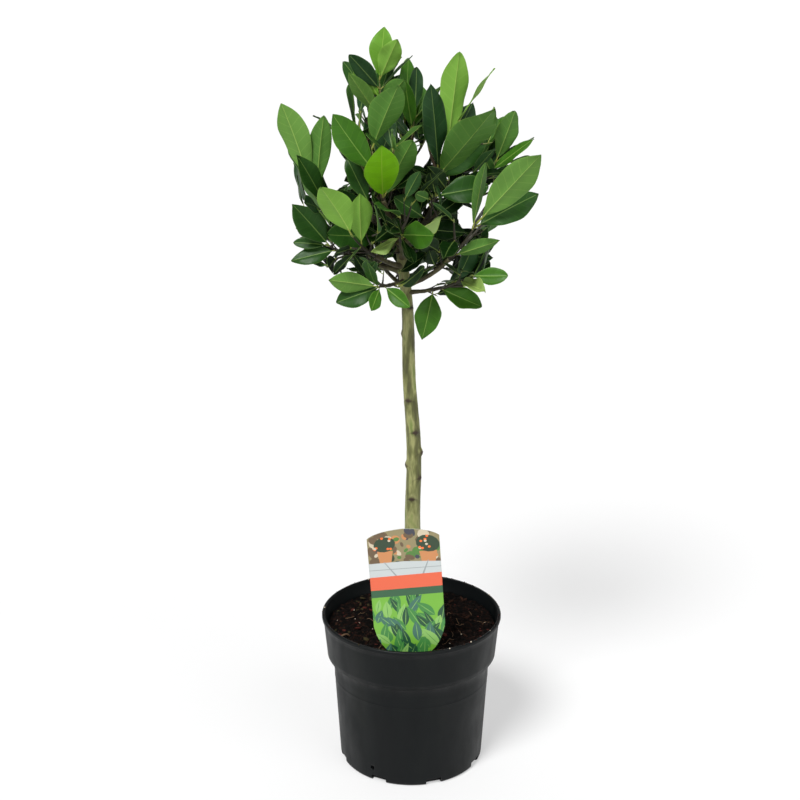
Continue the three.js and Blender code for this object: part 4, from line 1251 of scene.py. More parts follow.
LEAF_PIECES = {
    "leaves_top": ("top", "top_right", "upper_right", "upper_front", "upper_left", "upper_back"),
    "leaves_high": ("high_left", "high_right", "high_inner_right", "high_back_left", "high_back_right"),
    "leaves_middle": ("middle_right", "middle_front", "middle_front_left", "middle_left", "middle_back",
                      "middle_back_left", "inner_right", "inner_left"),
    "leaves_low": ("low_right", "low_front", "low_back_right", "low_back"),
}


def make_leaves(groups, materials):
    """The leaves of all masses, joined into a few pieces."""
    for name, masses in LEAF_PIECES.items():
        leaves = []
        for row, twigs in zip(MASSES, groups):
            if row["name"] in masses:
                leaves += [(row, twig, leaf) for twig in twigs for leaf in twig["kept"]]
        cells_across = math.ceil(math.sqrt(2 * len(leaves)))
        soup = Soup()
        for cell, (row, twig, leaf) in enumerate(leaves):
            random = random_from(int(leaf["length"] * 1000) + cell)
            tint = leaf_tint(row, twig, leaf, random)
            add_leaf(soup, leaf, tint, random, cell, cells_across)
        piece = soup.build(name, materials)
        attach(piece, "root")
        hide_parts(*["foliage_" + mass for mass in masses])


# ---------------------------------------------------------------- twigs

TWIG_SIDES_SHOWN = 9
TWIG_STEPS_SHOWN = 5
TWIG_TAPER = 0.5
BUD_LENGTH = 4
BUD_SIDES = 7
# Twigs that end nearer to the crown's midst than this are dull and dark with painted shade.
TWIG_INSIDE = 88


def bark_relief(path, sides, scale, step, seed, height):
    """How far the bark stands out at each point round a path."""
    return np.array([[noise.noise(Vector(p) * scale + Vector((j * step, seed, 0))) * height
                      for j in range(sides)] for p in path])


def to_last_leaf(path, twig):
    """The path as far as the twig's outermost leaf."""
    feet = np.array([leaf["foot"] for leaf in twig["kept"]])
    nearest = np.linalg.norm(feet[:, None] - path, axis=2).argmin(1)
    return path[: max(nearest.max() + 1, 4)]


def make_twigs(groups):
    """Stems, side twigs and shoots, brown where old, olive at the tips and darkened with painted shade
    deep in the crown, each with its end bud.
    """
    materials = {
        "old": plain_material("twig_old", (66, 53, 36), (0.6, 0.8), (900, 0.3)),
        "olive": plain_material("twig_olive", (96, 100, 50), (0.5, 0.7), (900, 0.2)),
        # Bark darkened by painted shade, for twigs deep in the crown and the feet of the short shoots.
        "inner": plain_material("twig_inner", (38, 34, 18), (0.5, 0.7), (900, 0.2)),
        "bud": plain_material("twig_bud", (96, 112, 50), (0.45, 0.6), (900, 0.1)),
    }
    every = [(row, twig) for row, twigs in zip(MASSES, groups) for twig in twigs]
    cells_across = math.ceil(math.sqrt(2 * len(every)))
    soup = Soup()
    for cell, (row, twig) in enumerate(every):
        path = to_last_leaf(smooth_path(twig["path"], TWIG_STEPS_SHOWN), twig)
        count = len(path)
        radii = [mix(*twig["radii"], i / (count - 1)) * mix(0.95, TWIG_TAPER, i / (count - 1))
                 for i in range(count)]
        relief = bark_relief(path, TWIG_SIDES_SHOWN, 0.35, 2.1, 0, 0.22)
        depth = np.linalg.norm(path[-1] - CROWN_MIDST)
        # The short shoots and the twigs deep in the crown take the dark "inner" bark, which is painted
        # shade.
        old = "inner" if "fine" in twig or depth < TWIG_INSIDE else "old"
        tip_slot = "inner" if depth < TWIG_INSIDE else "olive"
        slots = [old if i < 0.55 * count else tip_slot for i in range(count - 1)]
        add_tube(soup, path, radii, TWIG_SIDES_SHOWN, slots, 2 * cell, cells_across, relief)
        tip, axis = path[-1], unit(path[-1] - path[-2])
        bud = [tip - axis] + [tip + axis * share * BUD_LENGTH for share in (0.4, 0.75, 1)]
        bud_radii = [radii[-1] * share for share in (0.9, 1.2, 0.8)] + [0.1]
        add_tube(soup, bud, bud_radii, BUD_SIDES, "bud", 2 * cell + 1, cells_across)
    piece = soup.build("twigs", materials)
    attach(piece, "root")
    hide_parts(*["foliage_" + row["name"] for row in MASSES])


# ---------------------------------------------------------------- bark of trunk and boughs

BARK_SIDES = 48
BARK_RINGS = 420
KNOT_SHOWN = 1.6
# Size of a knot and of its hollow middle, along and round the trunk.
KNOT_SIZE = (3.4, 3.6)
KNOT_CORE = (1.9, 2.3)
# Above this height the bark darkens towards the boughs, over this stretch.
FORK_FROM = 500
FORK_OVER = 80
BOUGH_SIDES_SHOWN = 14
BOUGH_RINGS = 8
BOUGH_SWELL = 1.6
BOUGH_SWELL_LENGTH = 7
# The boughs' part of the bark's atlas: its corner, one bough's share and how many lie side by side.
BOUGH_CELLS_FROM = np.array([0.62, 0.01])
BOUGH_CELL = np.array([0.095, 0.16])
BOUGH_CELLS_ACROSS = 4
BARK_COLOURS = [(74, 74, 42), (98, 101, 57), (140, 140, 92), (102, 116, 58)]
SCAR_COLOUR = (48, 36, 24)


def bark_material():
    """Mottled bark, darker where the mesh's "scar" attribute says so."""
    made, tree, shader = new_material("bark")
    ramp = set_mottled(tree, shader, BARK_COLOURS, 130, (1, 1, 0.22))
    scars = tree.nodes.new("ShaderNodeAttribute")
    scars.attribute_name = "scar"
    blend = tree.nodes.new("ShaderNodeMix")
    blend.data_type = "RGBA"
    blend.inputs["B"].default_value = srgb(*SCAR_COLOUR)
    tree.links.new(scars.outputs["Fac"], blend.inputs["Factor"])
    tree.links.new(ramp.outputs["Color"], blend.inputs["A"])
    tree.links.new(blend.outputs["Result"], shader.inputs["Base Color"])
    shader.inputs["Specular IOR Level"].default_value = 0.35
    set_roughness(tree, shader, 0.5, 0.75, 120, (1, 1, 0.3))
    set_bump(tree, shader, 700, 0.5, 0.7, (1, 1, 0.25))
    return made


def bark_point(height, azimuth):
    """A point of the trunk's bark, and how dark its scar tissue is there."""
    base = trunk_radius(min(height, TRUNK_TOP))
    relief, scar = 0, 0
    for at, towards, out in KNOTS:
        arc = math.radians(abs((azimuth - towards + 540) % 360 - 180)) * base
        rise = height - at
        near = math.exp(-((rise / KNOT_SIZE[0]) ** 2 + (arc / KNOT_SIZE[1]) ** 2))
        core = math.exp(-((rise / KNOT_CORE[0]) ** 2 + (arc / KNOT_CORE[1]) ** 2))
        ring = math.exp(-((rise + 0.05 * arc**2) / 0.7) ** 2) * math.exp(-((arc / 8) ** 2))
        relief += KNOT_SHOWN * out * (near - 0.4 * core) + 0.3 * ring
        scar += 0.9 * core + 0.45 * near + 0.5 * ring
    turn = math.radians(azimuth)
    out = Vector((math.cos(turn), math.sin(turn), 0))
    coarse = noise.noise(Vector((out.x * 2.2, out.y * 2.2, height * 0.018)))
    fine = noise.fractal(Vector((out.x * 9, out.y * 9, height * 0.11)), 1, 2, 3)
    cracks = max(0, noise.noise(Vector((out.x * 16, out.y * 16, height * 0.05))) - 0.25)
    radius = base + relief + 0.45 * coarse + 0.18 * fine - 0.5 * cracks
    fork = max(0, (height - FORK_FROM) / FORK_OVER)
    scar += 0.8 * cracks + 0.55 * fork * (0.7 + fine)
    return radius, min(1, max(0, scar))


def make_bark():
    """One mesh for trunk and boughs, with the bark's relief."""
    soup = Soup()
    points, scars, uvs = [], [], []
    for i in range(BARK_RINGS + 1):
        height = mix(TRUNK_FOOT - 2, TRUNK_TOP, i / BARK_RINGS)
        middle = trunk_middle(max(height, TRUNK_FOOT))
        middle[2] = height
        for j in range(BARK_SIDES):
            azimuth = j * 360 / BARK_SIDES
            radius, scar = bark_point(max(height, TRUNK_FOOT), azimuth)
            points.append(middle + heading(azimuth, 0) * radius)
            scars.append(scar)
            uvs.append((0.6 * j / BARK_SIDES, 0.02 + 0.96 * i / BARK_RINGS))
    tip = trunk_middle(TRUNK_TOP) + np.array([0, 0, 3])
    points.append(tip)
    scars.append(0.7)
    uvs.append((0.3, 0.995))
    faces = band_faces(BARK_RINGS + 1, BARK_SIDES)
    top = BARK_RINGS * BARK_SIDES
    faces += [(top + j, top + (j + 1) % BARK_SIDES, len(points) - 1, -1) for j in range(BARK_SIDES)]
    soup.add(points, faces, ["bark"] * len(faces), uvs)
    for k, row in enumerate(MASSES):
        scars += add_bough(soup, row, k)
    piece = soup.build("bark", {"bark": bark_material()})
    attribute = piece.data.attributes.new("scar", "FLOAT", "POINT")
    attribute.data.foreach_set("value", np.array(scars, np.float32))
    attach(piece, "root")
    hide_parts("trunk", *["bough_" + row["name"] for row in MASSES])


def add_bough(soup, row, k):
    """One bough with a swollen foot; returns how dark each of its points is."""
    path = smooth_path(bough_path(row), BOUGH_RINGS)
    count = len(path)
    thick, thin = bough_radii(row)
    along = [i * row["bough"] / (count - 1) for i in range(count)]
    radii = [mix(thick, thin, i / (count - 1)) + BOUGH_SWELL * math.exp(-along[i] / BOUGH_SWELL_LENGTH)
             for i in range(count)]
    relief = bark_relief(path, BOUGH_SIDES_SHOWN, 0.3, 1.7, row["seed"], 0.4)
    start = soup.count
    add_tube(soup, path, radii, BOUGH_SIDES_SHOWN, "bark", 0, 1, relief)
    strip = soup.uvs[-1]
    cell = np.array([k % BOUGH_CELLS_ACROSS, k // BOUGH_CELLS_ACROSS])
    low, high = strip.min(0), strip.max(0)
    flat = (strip - low) / np.maximum(high - low, 1e-9)
    soup.uvs[-1] = BOUGH_CELLS_FROM + (cell + 0.05 + flat * 0.9) * BOUGH_CELL
    dark = 0.75 + 0.25 * noise.noise(Vector((row["seed"], 0, 0)))
    return [min(1, dark)] * (soup.count - start)


# ---------------------------------------------------------------- pot

POT_SIDES = 192
BASE_RADIUS = 60
BASE_RISE = 0.6
POT_FLOOR = 2.6
# The moulded line below the collar: how far down it is, and its section as heights and depths.
LINE_DOWN = 9
LINE_SECTION = ((-1.2, 0), (-0.6, 0.14), (0, 0.2), (0.6, 0.14), (1.2, 0))


def pot_body_radius(height):
    """Outer radius of the tapered body."""
    return mix(POT_FOOT_RADIUS, POT_BODY_RADIUS, height / POT_BODY_TOP)


def pot_shoulder(inset, steps=10):
    """Where the wall turns out from the body into the collar."""
    points = []
    for i in range(steps + 1):
        turn = i / steps * math.pi / 2
        radius = mix(POT_BODY_RADIUS, COLLAR_RADIUS, 1 - math.cos(turn)) - inset
        points.append((radius, mix(POT_BODY_TOP, COLLAR_BOTTOM, math.sin(turn))))
    return points


def pot_profile():
    """The pot's profile, outside and inside, with its rounded edges and the moulded line."""
    foot = [
        (0, BASE_RISE),
        (BASE_RADIUS, BASE_RISE),
        (BASE_RADIUS + 2, 0),
        (POT_FOOT_RADIUS - FOOT_ROUND, 0),
    ]
    for i in range(1, 6):
        turn = i / 6 * math.pi / 2
        radius = pot_body_radius(FOOT_ROUND) - FOOT_ROUND * (1 - math.sin(turn))
        foot.append((radius, FOOT_ROUND * (1 - math.cos(turn))))
    body = []
    for i in range(25):
        height = mix(FOOT_ROUND, POT_BODY_TOP - 1, i / 24)
        body.append((pot_body_radius(height), height))
    line = POT_BODY_TOP - LINE_DOWN
    for offset, out in LINE_SECTION:
        body.append((pot_body_radius(line + offset) + out, line + offset))
    body.sort(key=lambda p: p[1])
    collar = [(mix(COLLAR_RADIUS, POT_RIM_RADIUS - LIP_OUT, i / 8),
               mix(COLLAR_BOTTOM, POT_HEIGHT - LIP_HEIGHT - LIP_OUT, i / 8)) for i in range(1, 9)]
    lip_low = POT_HEIGHT - LIP_HEIGHT
    lip = [
        (POT_RIM_RADIUS - 0.7, lip_low - 1.0),
        (POT_RIM_RADIUS - 0.15, lip_low - 0.4),
        (POT_RIM_RADIUS, lip_low + 0.4),
        (POT_RIM_RADIUS, POT_HEIGHT - 1.2),
        (POT_RIM_RADIUS - 0.3, POT_HEIGHT - 0.45),
        (POT_RIM_RADIUS - 1.0, POT_HEIGHT),
    ]
    inner_top = POT_RIM_RADIUS - LIP_OUT - POT_WALL
    inside = [
        (inner_top + 0.7, POT_HEIGHT),
        (inner_top + 0.15, POT_HEIGHT - 0.4),
        (inner_top, POT_HEIGHT - 1),
        *reversed(pot_shoulder(POT_WALL)),
        (pot_body_radius(6) - POT_WALL, 6),
        (pot_body_radius(3) - POT_WALL - 2, POT_FLOOR),
        (0, POT_FLOOR),
    ]
    return foot + body + pot_shoulder(0) + collar + lip + inside


def pot_material():
    """Black plastic with a dusty bloom and a grained skin."""
    made, tree, shader = new_material("pot_plastic")
    set_mottled(tree, shader, [(0, 3, 4), (1, 5, 6), (7, 11, 10)], 26, (1, 1, 0.35), 0.4, 0.72)
    shader.inputs["Specular IOR Level"].default_value = 0.2
    set_roughness(tree, shader, 0.42, 0.58, 60, (1, 1, 0.4))
    set_bump(tree, shader, 1400, 0.12, 0.5)
    return made


def make_pot():
    """The pot as one turned shell with its openings cut out."""
    profile = pot_profile()
    soup = Soup()
    points, uvs = [], []
    for i, (radius, height) in enumerate(profile):
        for j in range(POT_SIDES):
            turn = 2 * math.pi * j / POT_SIDES
            points.append((radius * math.cos(turn), radius * math.sin(turn), height))
            uvs.append((j / POT_SIDES, i / len(profile)))
    faces = band_faces(len(profile), POT_SIDES)
    soup.add(points, faces, ["pot"] * len(faces), uvs)
    made = soup.build("pot_shell", {"pot": pot_material()})
    weld(made)
    cut_openings(made)
    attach(made, "root")
    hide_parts("pot")


def weld(made):
    """Joins a mesh's points that lie in one place and turns its faces outwards."""
    work = bmesh.new()
    work.from_mesh(made.data)
    bmesh.ops.remove_doubles(work, verts=work.verts, dist=1e-6)
    bmesh.ops.recalc_face_normals(work, faces=work.faces)
    work.to_mesh(made.data)
    work.free()


def block_at(azimuth, radius, height, size):
    """A box that faces outwards at an azimuth and radius."""
    halves = (-0.5, 0.5)
    corners = np.array([[x, y, z] for x in halves for y in halves for z in halves]) * size
    corners += np.array([radius, 0, height])
    c, s = math.cos(math.radians(azimuth)), math.sin(math.radians(azimuth))
    spin = np.array([[c, s, 0], [-s, c, 0], [0, 0, 1]])
    faces = [(0, 1, 3, 2), (4, 6, 7, 5), (0, 4, 5, 1), (2, 3, 7, 6), (0, 2, 6, 4), (1, 5, 7, 3)]
    return corners @ spin, faces


def cut_openings(pot):
    """Cuts the foot's notches and the small hole out of the wall."""
    soup = Soup()
    notch = (2 * NOTCH_DEPTH, NOTCH_WIDTH, 2 * NOTCH_HEIGHT)
    blocks = [block_at((i + 0.4) * 360 / NOTCHES, POT_FOOT_RADIUS, 0, notch) for i in range(NOTCHES)]
    wall = pot_body_radius(SIDE_HOLE_HEIGHT) - POT_WALL / 2
    hole = (3 * POT_WALL, SIDE_HOLE, SIDE_HOLE)
    blocks.append(block_at(SIDE_HOLE_AZIMUTH, wall, SIDE_HOLE_HEIGHT, hole))
    for points, faces in blocks:
        soup.add(points, faces, ["cut"] * 6, np.zeros((8, 2)))
    cutter = soup.build("pot_cutter", {"cut": pot.data.materials[0]})
    cut = pot.modifiers.new("openings", "BOOLEAN")
    cut.operation = "DIFFERENCE"
    cut.solver = "EXACT"
    cut.object = cutter
    depsgraph = bpy.context.evaluated_depsgraph_get()
    pot.data = bpy.data.meshes.new_from_object(pot.evaluated_get(depsgraph))
    pot.modifiers.clear()
    bpy.data.objects.remove(cutter)


# ---------------------------------------------------------------- soil

SOIL_EDGE = 88.6
SOIL_SIDES = 150
SOIL_RINGS_SHOWN = 64
SOIL_SWELL = 1.75
SOIL_LUMPS = 1.6
SOIL_ROUGHNESS = 2.8
CHIPS = 560
CHIP_LENGTH = 8.5
RIM_CRUMBS = 90
RIM_CRUMB_LENGTH = 2.4
FIBRES = 60


def soil_level(x, y):
    """Height of the soil's surface with its lumps, level with the source's soil on the whole."""
    out = math.hypot(x, y) / SOIL_EDGE
    level = min(1, max(0, (math.hypot(x, y) - TRUNK_DIAMETER) / TRUNK_DIAMETER))
    swell = math.sin(math.pi * min(out, 1)) * SOIL_SWELL
    lumps = math.sin(x * 0.23 + 1) * math.cos(y * 0.19) + math.sin(x * 0.11 - y * 0.27)
    rough = noise.fractal(Vector((x * 0.12, y * 0.12, 0)), 0.7, 2, 5) * SOIL_ROUGHNESS
    return SOIL_TOP + level * (swell + lumps * (1 - out) * SOIL_LUMPS) + rough


def make_soil():
    """The soil with chips of bark, crumbs, fibres and a root, in one piece."""
    materials = {
        "soil": soil_material(),
        "chip_dark": plain_material("chip_dark", (20, 13, 10), (0.7, 0.9), (900, 0.5), 0.1),
        "chip_brown": plain_material("chip_brown", (46, 28, 19), (0.7, 0.9), (900, 0.5), 0.1),
        "chip_red": plain_material("chip_red", (72, 33, 27), (0.7, 0.9), (900, 0.5), 0.1),
        "moss": plain_material("moss", (50, 44, 22), (0.8, 0.95), (900, 0.6), 0.2),
        "fibre": plain_material("fibre", (104, 80, 58), (0.6, 0.8), (900, 0.3), 0.3),
        "grain": plain_material("grain", (200, 188, 168), (0.6, 0.8), (1200, 0.4), 0.3),
    }
    soup = Soup()
    add_soil_surface(soup)
    random = random_from(4021)
    for _ in range(CHIPS):
        spot = ground_spot(random)
        add_chip(soup, random, spot, soil_level(*spot), CHIP_LENGTH)
    for _ in range(RIM_CRUMBS):
        add_chip(soup, random, rim_spot(random), POT_HEIGHT, RIM_CRUMB_LENGTH)
    for _ in range(FIBRES):
        add_fibre(soup, random)
    add_root_loop(soup)
    piece = soup.build("soil_surface", materials, smooth=True)
    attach(piece, "root")
    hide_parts("soil")


def soil_material():
    """Dark crumbly soil."""
    made, tree, shader = new_material("soil")
    set_mottled(tree, shader, [(2, 2, 1), (9, 5, 4), (38, 21, 14)], 260, (1, 1, 1), 0.35, 0.7)
    shader.inputs["Specular IOR Level"].default_value = 0.08
    set_roughness(tree, shader, 0.75, 0.95, 200)
    set_bump(tree, shader, 500, 2.5, 1.0)
    return made


def add_soil_surface(soup):
    """The soil's surface as rings of points about its middle."""
    points, uvs, faces = [(0, 0, soil_level(0, 0))], [(0.25, 0.25)], []
    for i in range(1, SOIL_RINGS_SHOWN + 1):
        for j in range(SOIL_SIDES):
            turn = 2 * math.pi * j / SOIL_SIDES
            radius = SOIL_EDGE * i / SOIL_RINGS_SHOWN
            x, y = radius * math.cos(turn), radius * math.sin(turn)
            points.append((x, y, soil_level(x, y)))
            uvs.append((0.25 + 0.0027 * x, 0.25 + 0.0027 * y))
    for j in range(SOIL_SIDES):
        n = (j + 1) % SOIL_SIDES
        faces.append((0, 1 + j, 1 + n, -1))
        for i in range(SOIL_RINGS_SHOWN - 1):
            a, b = 1 + i * SOIL_SIDES, 1 + (i + 1) * SOIL_SIDES
            faces.append((a + j, b + j, b + n, a + n))
    soup.add(points, faces, ["soil"] * len(faces), uvs)


def ground_spot(random, edge=SOIL_EDGE - 3):
    """A place on the soil, as likely anywhere within the edge."""
    radius = edge * math.sqrt(random())
    turn = 2 * math.pi * random()
    return radius * math.cos(turn), radius * math.sin(turn)


def rim_spot(random):
    """A place on the pot's rim, for a crumb that was spilt there."""
    turn = 2 * math.pi * random()
    radius = POT_RIM_RADIUS - mix(0.6, 2.2, random())
    return radius * math.cos(turn), radius * math.sin(turn)


def add_chip(soup, random, spot, level, most_length):
    """A flat splinter of bark, a crumb of moss or a pale grain, half sunk in what is below it."""
    x, y = spot
    kind = random()
    is_grain = kind > 0.93
    length = mix(0.8, 1.8, random()) if is_grain else mix(1.6, most_length, random() ** 2.4)
    width = length * (0.9 if is_grain else mix(0.3, 0.75, random()))
    thick = length * (0.8 if is_grain else mix(0.1, 0.3, random()))
    shape = []
    for sz in (-1, 1):
        for k in range(6):
            turn = k * math.pi / 3 + 0.5 * (random() - 0.5)
            reach = mix(0.75, 1.1, random())
            along, aside = 0.5 * length * reach * math.cos(turn), 0.5 * width * reach * math.sin(turn)
            shape.append((along, aside, 0.5 * thick * sz * mix(0.6, 1, random())))
    yaw, tilt, roll = 2 * math.pi * random(), 0.9 * (random() - 0.5), 0.9 * (random() - 0.5)
    spin = rotation(yaw, tilt, roll)
    points = np.array(shape) @ spin.T + np.array([x, y, level + 0.25 * thick])
    faces = [(k, (k + 1) % 6, 6 + (k + 1) % 6, 6 + k) for k in range(6)]
    faces += [(6, 7, 8, 9), (6, 9, 10, 11), (3, 2, 1, 0), (5, 4, 3, 0)]
    is_moss = x < -30 and kind < 0.35
    if is_grain:
        slot = "grain"
    elif is_moss:
        slot = "moss"
    elif kind < 0.45:
        slot = "chip_dark"
    elif kind < 0.78:
        slot = "chip_brown"
    else:
        slot = "chip_red"
    soup.add(points, faces, [slot] * len(faces), 0.6 + 0.05 * np.array(shape)[:, :2] / length)


def rotation(yaw, tilt, roll):
    """The turn by three angles as a matrix."""
    cy, sy = math.cos(yaw), math.sin(yaw)
    ct, st = math.cos(tilt), math.sin(tilt)
    cr, sr = math.cos(roll), math.sin(roll)
    turn = np.array([[cy, -sy, 0], [sy, cy, 0], [0, 0, 1]])
    lean = np.array([[ct, 0, st], [0, 1, 0], [-st, 0, ct]])
    bank = np.array([[1, 0, 0], [0, cr, -sr], [0, sr, cr]])
    return turn @ lean @ bank


def add_fibre(soup, random):
    """A thin curved root or coir fibre that lies on the soil."""
    x, y = ground_spot(random, SOIL_EDGE - 8)
    turn = 2 * math.pi * random()
    bend = 1.6 * (random() - 0.5)
    length = mix(5, 16, random())
    path = []
    for k in range(7):
        share = k / 6
        along = turn + bend * (share - 0.5)
        px = x + length * (share - 0.5) * math.cos(along)
        py = y + length * (share - 0.5) * math.sin(along)
        if math.hypot(px, py) > SOIL_EDGE - 1:
            return
        height = soil_level(px, py) + 0.5 + 1.5 * math.sin(math.pi * share) * random()
        path.append(np.array([px, py, height]))
    slot = "fibre" if random() < 0.5 else "chip_brown"
    add_tube(soup, path, [0.3] * 7, 4, slot, 3, 4)


def add_root_loop(soup):
    """The pale root that comes up in a loop at the front left."""
    path = []
    for k in range(15):
        turn = mix(-0.3, math.pi + 0.5, k / 14)
        x = -71 + 9 * math.cos(turn) * 0.7
        y = -38 + 7 * math.cos(turn)
        path.append(np.array([x, y, SOIL_TOP - 1.5 + 7.5 * math.sin(turn)]))
    add_tube(soup, path, [mix(1.1, 0.8, k / 14) for k in range(15)], 8, "fibre", 3, 4)


# ---------------------------------------------------------------- plant label

LABEL_THICKNESS_SHOWN = 0.7
LABEL_GRID = 6

LABEL_COLOURS = {
    "card": (178, 184, 172),
    "wall": (132, 122, 88),
    "earth": (96, 78, 56),
    "clay": (182, 124, 78),
    "orange": (226, 106, 44),
    "lawn": (74, 116, 52),
    "shade": (42, 60, 40),
    "slate": (58, 60, 70),
    "stone": (188, 176, 152),
    "paving": (178, 184, 184),
    "joint": (140, 146, 146),
    "stripe": (206, 92, 62),
    "band": (46, 84, 56),
    "lime": (104, 160, 52),
    "leaf_mid": (58, 120, 56),
    "leaf_dark": (26, 70, 44),
    "leaf_blue": (56, 100, 84),
    "leaf_pale": (124, 170, 88),
}
GARDEN_BLOBS = 70
FLOWERS = 18
PRINTED_LEAVES = 84


def label_outline():
    """The card's outline, counter-clockwise from its right-hand foot, with an arched top."""
    half = LABEL_WIDTH / 2
    neck, shoulder = (LABEL_POINT_WIDTH / 2 + 2, SOIL_TOP - 2), (half, LABEL_SHOULDER)
    arch = (half, LABEL_TOP - LABEL_ARCH)
    right = [(LABEL_POINT_WIDTH / 2, SOIL_TOP - LABEL_DEPTH), neck]
    for t in (0.2, 0.4, 0.6, 0.8, 1):
        right.append(quadratic(neck, (half - 4, SOIL_TOP + 10), shoulder, t))
    right.append(arch)
    for k in range(1, 13):
        right.append(quadratic(arch, (half * 0.75, LABEL_TOP - 1.5), (0, LABEL_TOP), k / 12))
    left = [(-x, z) for x, z in reversed(right[:-1])]
    return right + left


def quadratic(a, b, c, t):
    """A point of the curve from a to c that b pulls towards itself."""
    return tuple((1 - t) ** 2 * p + 2 * t * (1 - t) * q + t**2 * r for p, q, r in zip(a, b, c))


def turned(x, z, u, v, turn):
    """The point that lies u aside and v up from a place, turned about it."""
    return (x + u * math.cos(turn) - v * math.sin(turn), z + u * math.sin(turn) + v * math.cos(turn))


def ellipse(x, z, wide, high, turn=0, count=18):
    """Outline of an ellipse about a place."""
    points = []
    for k in range(count):
        angle = 2 * math.pi * k / count
        points.append(turned(x, z, wide * math.cos(angle), high * math.sin(angle), turn))
    return points


def leaf_motif(x, z, length, width, turn):
    """Outline of a printed leaf from its foot."""
    points = []
    for way in (1, -1):
        shares = [k / 8 for k in range(9)] if way > 0 else [k / 8 for k in range(7, 0, -1)]
        for share in shares:
            half = way * width * math.sin(math.pi * share**0.85)
            points.append(turned(x, z, half, length * share, turn))
    return points


def label_motifs():
    """Coloured areas of the label's front, the uppermost last: a generic garden and foliage design."""
    wide = LABEL_WIDTH
    motifs = [("wall", [(-wide, 243), (wide, 243), (wide, 300), (-wide, 300)])]
    random = random_from(77)
    garden = ("shade", "earth", "lawn", "stone", "clay", "slate", "earth", "lawn")
    for k in range(GARDEN_BLOBS):
        x, z = mix(-36, 36, random()), mix(250, 290, random())
        size = mix(2, 7, random() ** 1.5)
        blob = ellipse(x, z, size, size * mix(0.4, 1, random()), math.pi * random(), 9)
        motifs.append((garden[k % len(garden)], blob))
    motifs += [
        ("clay", [(-24, 252), (-14, 252), (-11, 268), (-27, 268)]),
        ("clay", [(18, 250), (30, 250), (33, 266), (15, 266)]),
        ("shade", ellipse(-19, 275, 11, 8, 0.2, 14)),
        ("shade", ellipse(24, 274, 12, 9, -0.3, 14)),
    ]
    for k in range(FLOWERS):
        side = 1 if k % 2 else -1
        x, z = side * 22 + 9 * (random() - 0.5) * 2, 275 + 7 * (random() - 0.5) * 2
        motifs.append(("orange" if k % 3 else "stone", ellipse(x, z, 1.5, 1.3, 0, 7)))
    motifs += [
        ("paving", [(-wide, 236), (wide, 236), (wide, 252), (0, 256), (-wide, 254)]),
        ("joint", [(-wide, 247), (wide, 248.5), (wide, 249.2), (-wide, 247.7)]),
        ("joint", [(-10, 240), (-8, 240), (-20, 256), (-21, 256)]),
        ("joint", [(16, 240), (18, 240), (24, 256), (23, 256)]),
        ("lime", [(-wide, 100), (wide, 100), (wide, 222), (-wide, 222)]),
    ]
    foliage = ("leaf_mid", "leaf_dark", "leaf_blue", "leaf_mid", "leaf_pale", "leaf_dark")
    for k in range(PRINTED_LEAVES):
        slot = foliage[k % len(foliage)]
        x, z = mix(-38, 38, random()), mix(208, 132, (k / PRINTED_LEAVES) ** 0.8)
        length, width = mix(14, 28, random()), mix(2.6, 5.4, random())
        turn = 1.8 * (random() - 0.5)
        motifs.append((slot, leaf_motif(x, z, length, width, turn)))
        rib = "leaf_pale" if slot != "leaf_pale" else "leaf_mid"
        motifs.append((rib, leaf_motif(x, z, length * 0.92, 0.3, turn)))
    motifs += [
        ("band", [(-wide, 217), (wide, 220), (wide, 228), (-wide, 225)]),
        ("stripe", [(-wide, 225), (wide, 228), (wide, 243), (-wide, 239)]),
    ]
    return motifs


def lies_in(point, shape):
    """True if a point lies inside a closed outline."""
    x, z = point
    inside = False
    for (ax, az), (bx, bz) in zip(shape, shape[1:] + shape[:1]):
        if (az > z) != (bz > z) and x < ax + (bx - ax) * (z - az) / (bz - az):
            inside = not inside
    return inside


def label_front(outline, motifs):
    """The front as flat triangles, each with the slot of the uppermost motif it lies in."""
    coords, faces = [], []
    for shape in [outline] + [shape for _, shape in motifs]:
        faces.append(list(range(len(coords), len(coords) + len(shape))))
        coords += [Vector(p) for p in shape]
    columns = np.arange(-LABEL_WIDTH / 2 + LABEL_GRID, LABEL_WIDTH / 2, LABEL_GRID)
    lines = np.arange(SOIL_TOP, LABEL_TOP, LABEL_GRID)
    coords += [Vector((x, z)) for x in columns for z in lines if lies_in((x, z), outline)]
    verts, _, made, _, _, _ = delaunay_2d_cdt(coords, [], faces, 0, 1e-5)
    kept, slots = [], []
    for face in made:
        middle = [sum(verts[i][axis] for i in face) / 3 for axis in (0, 1)]
        if not lies_in(middle, outline):
            continue
        over = [slot for slot, shape in motifs if lies_in(middle, shape)]
        kept.append(face)
        slots.append(over[-1] if over else "card")
    return [tuple(v) for v in verts], kept, slots


def label_point(x, z, out):
    """A point of the leaning card, which bends a little along its height."""
    lean = math.radians(LABEL_LEAN)
    up = z - SOIL_TOP
    bow = 0.9 * math.sin(up / 45)
    return (x * math.cos(lean) - up * math.sin(lean), LABEL_Y - out + bow,
            SOIL_TOP + x * math.sin(lean) + up * math.cos(lean))


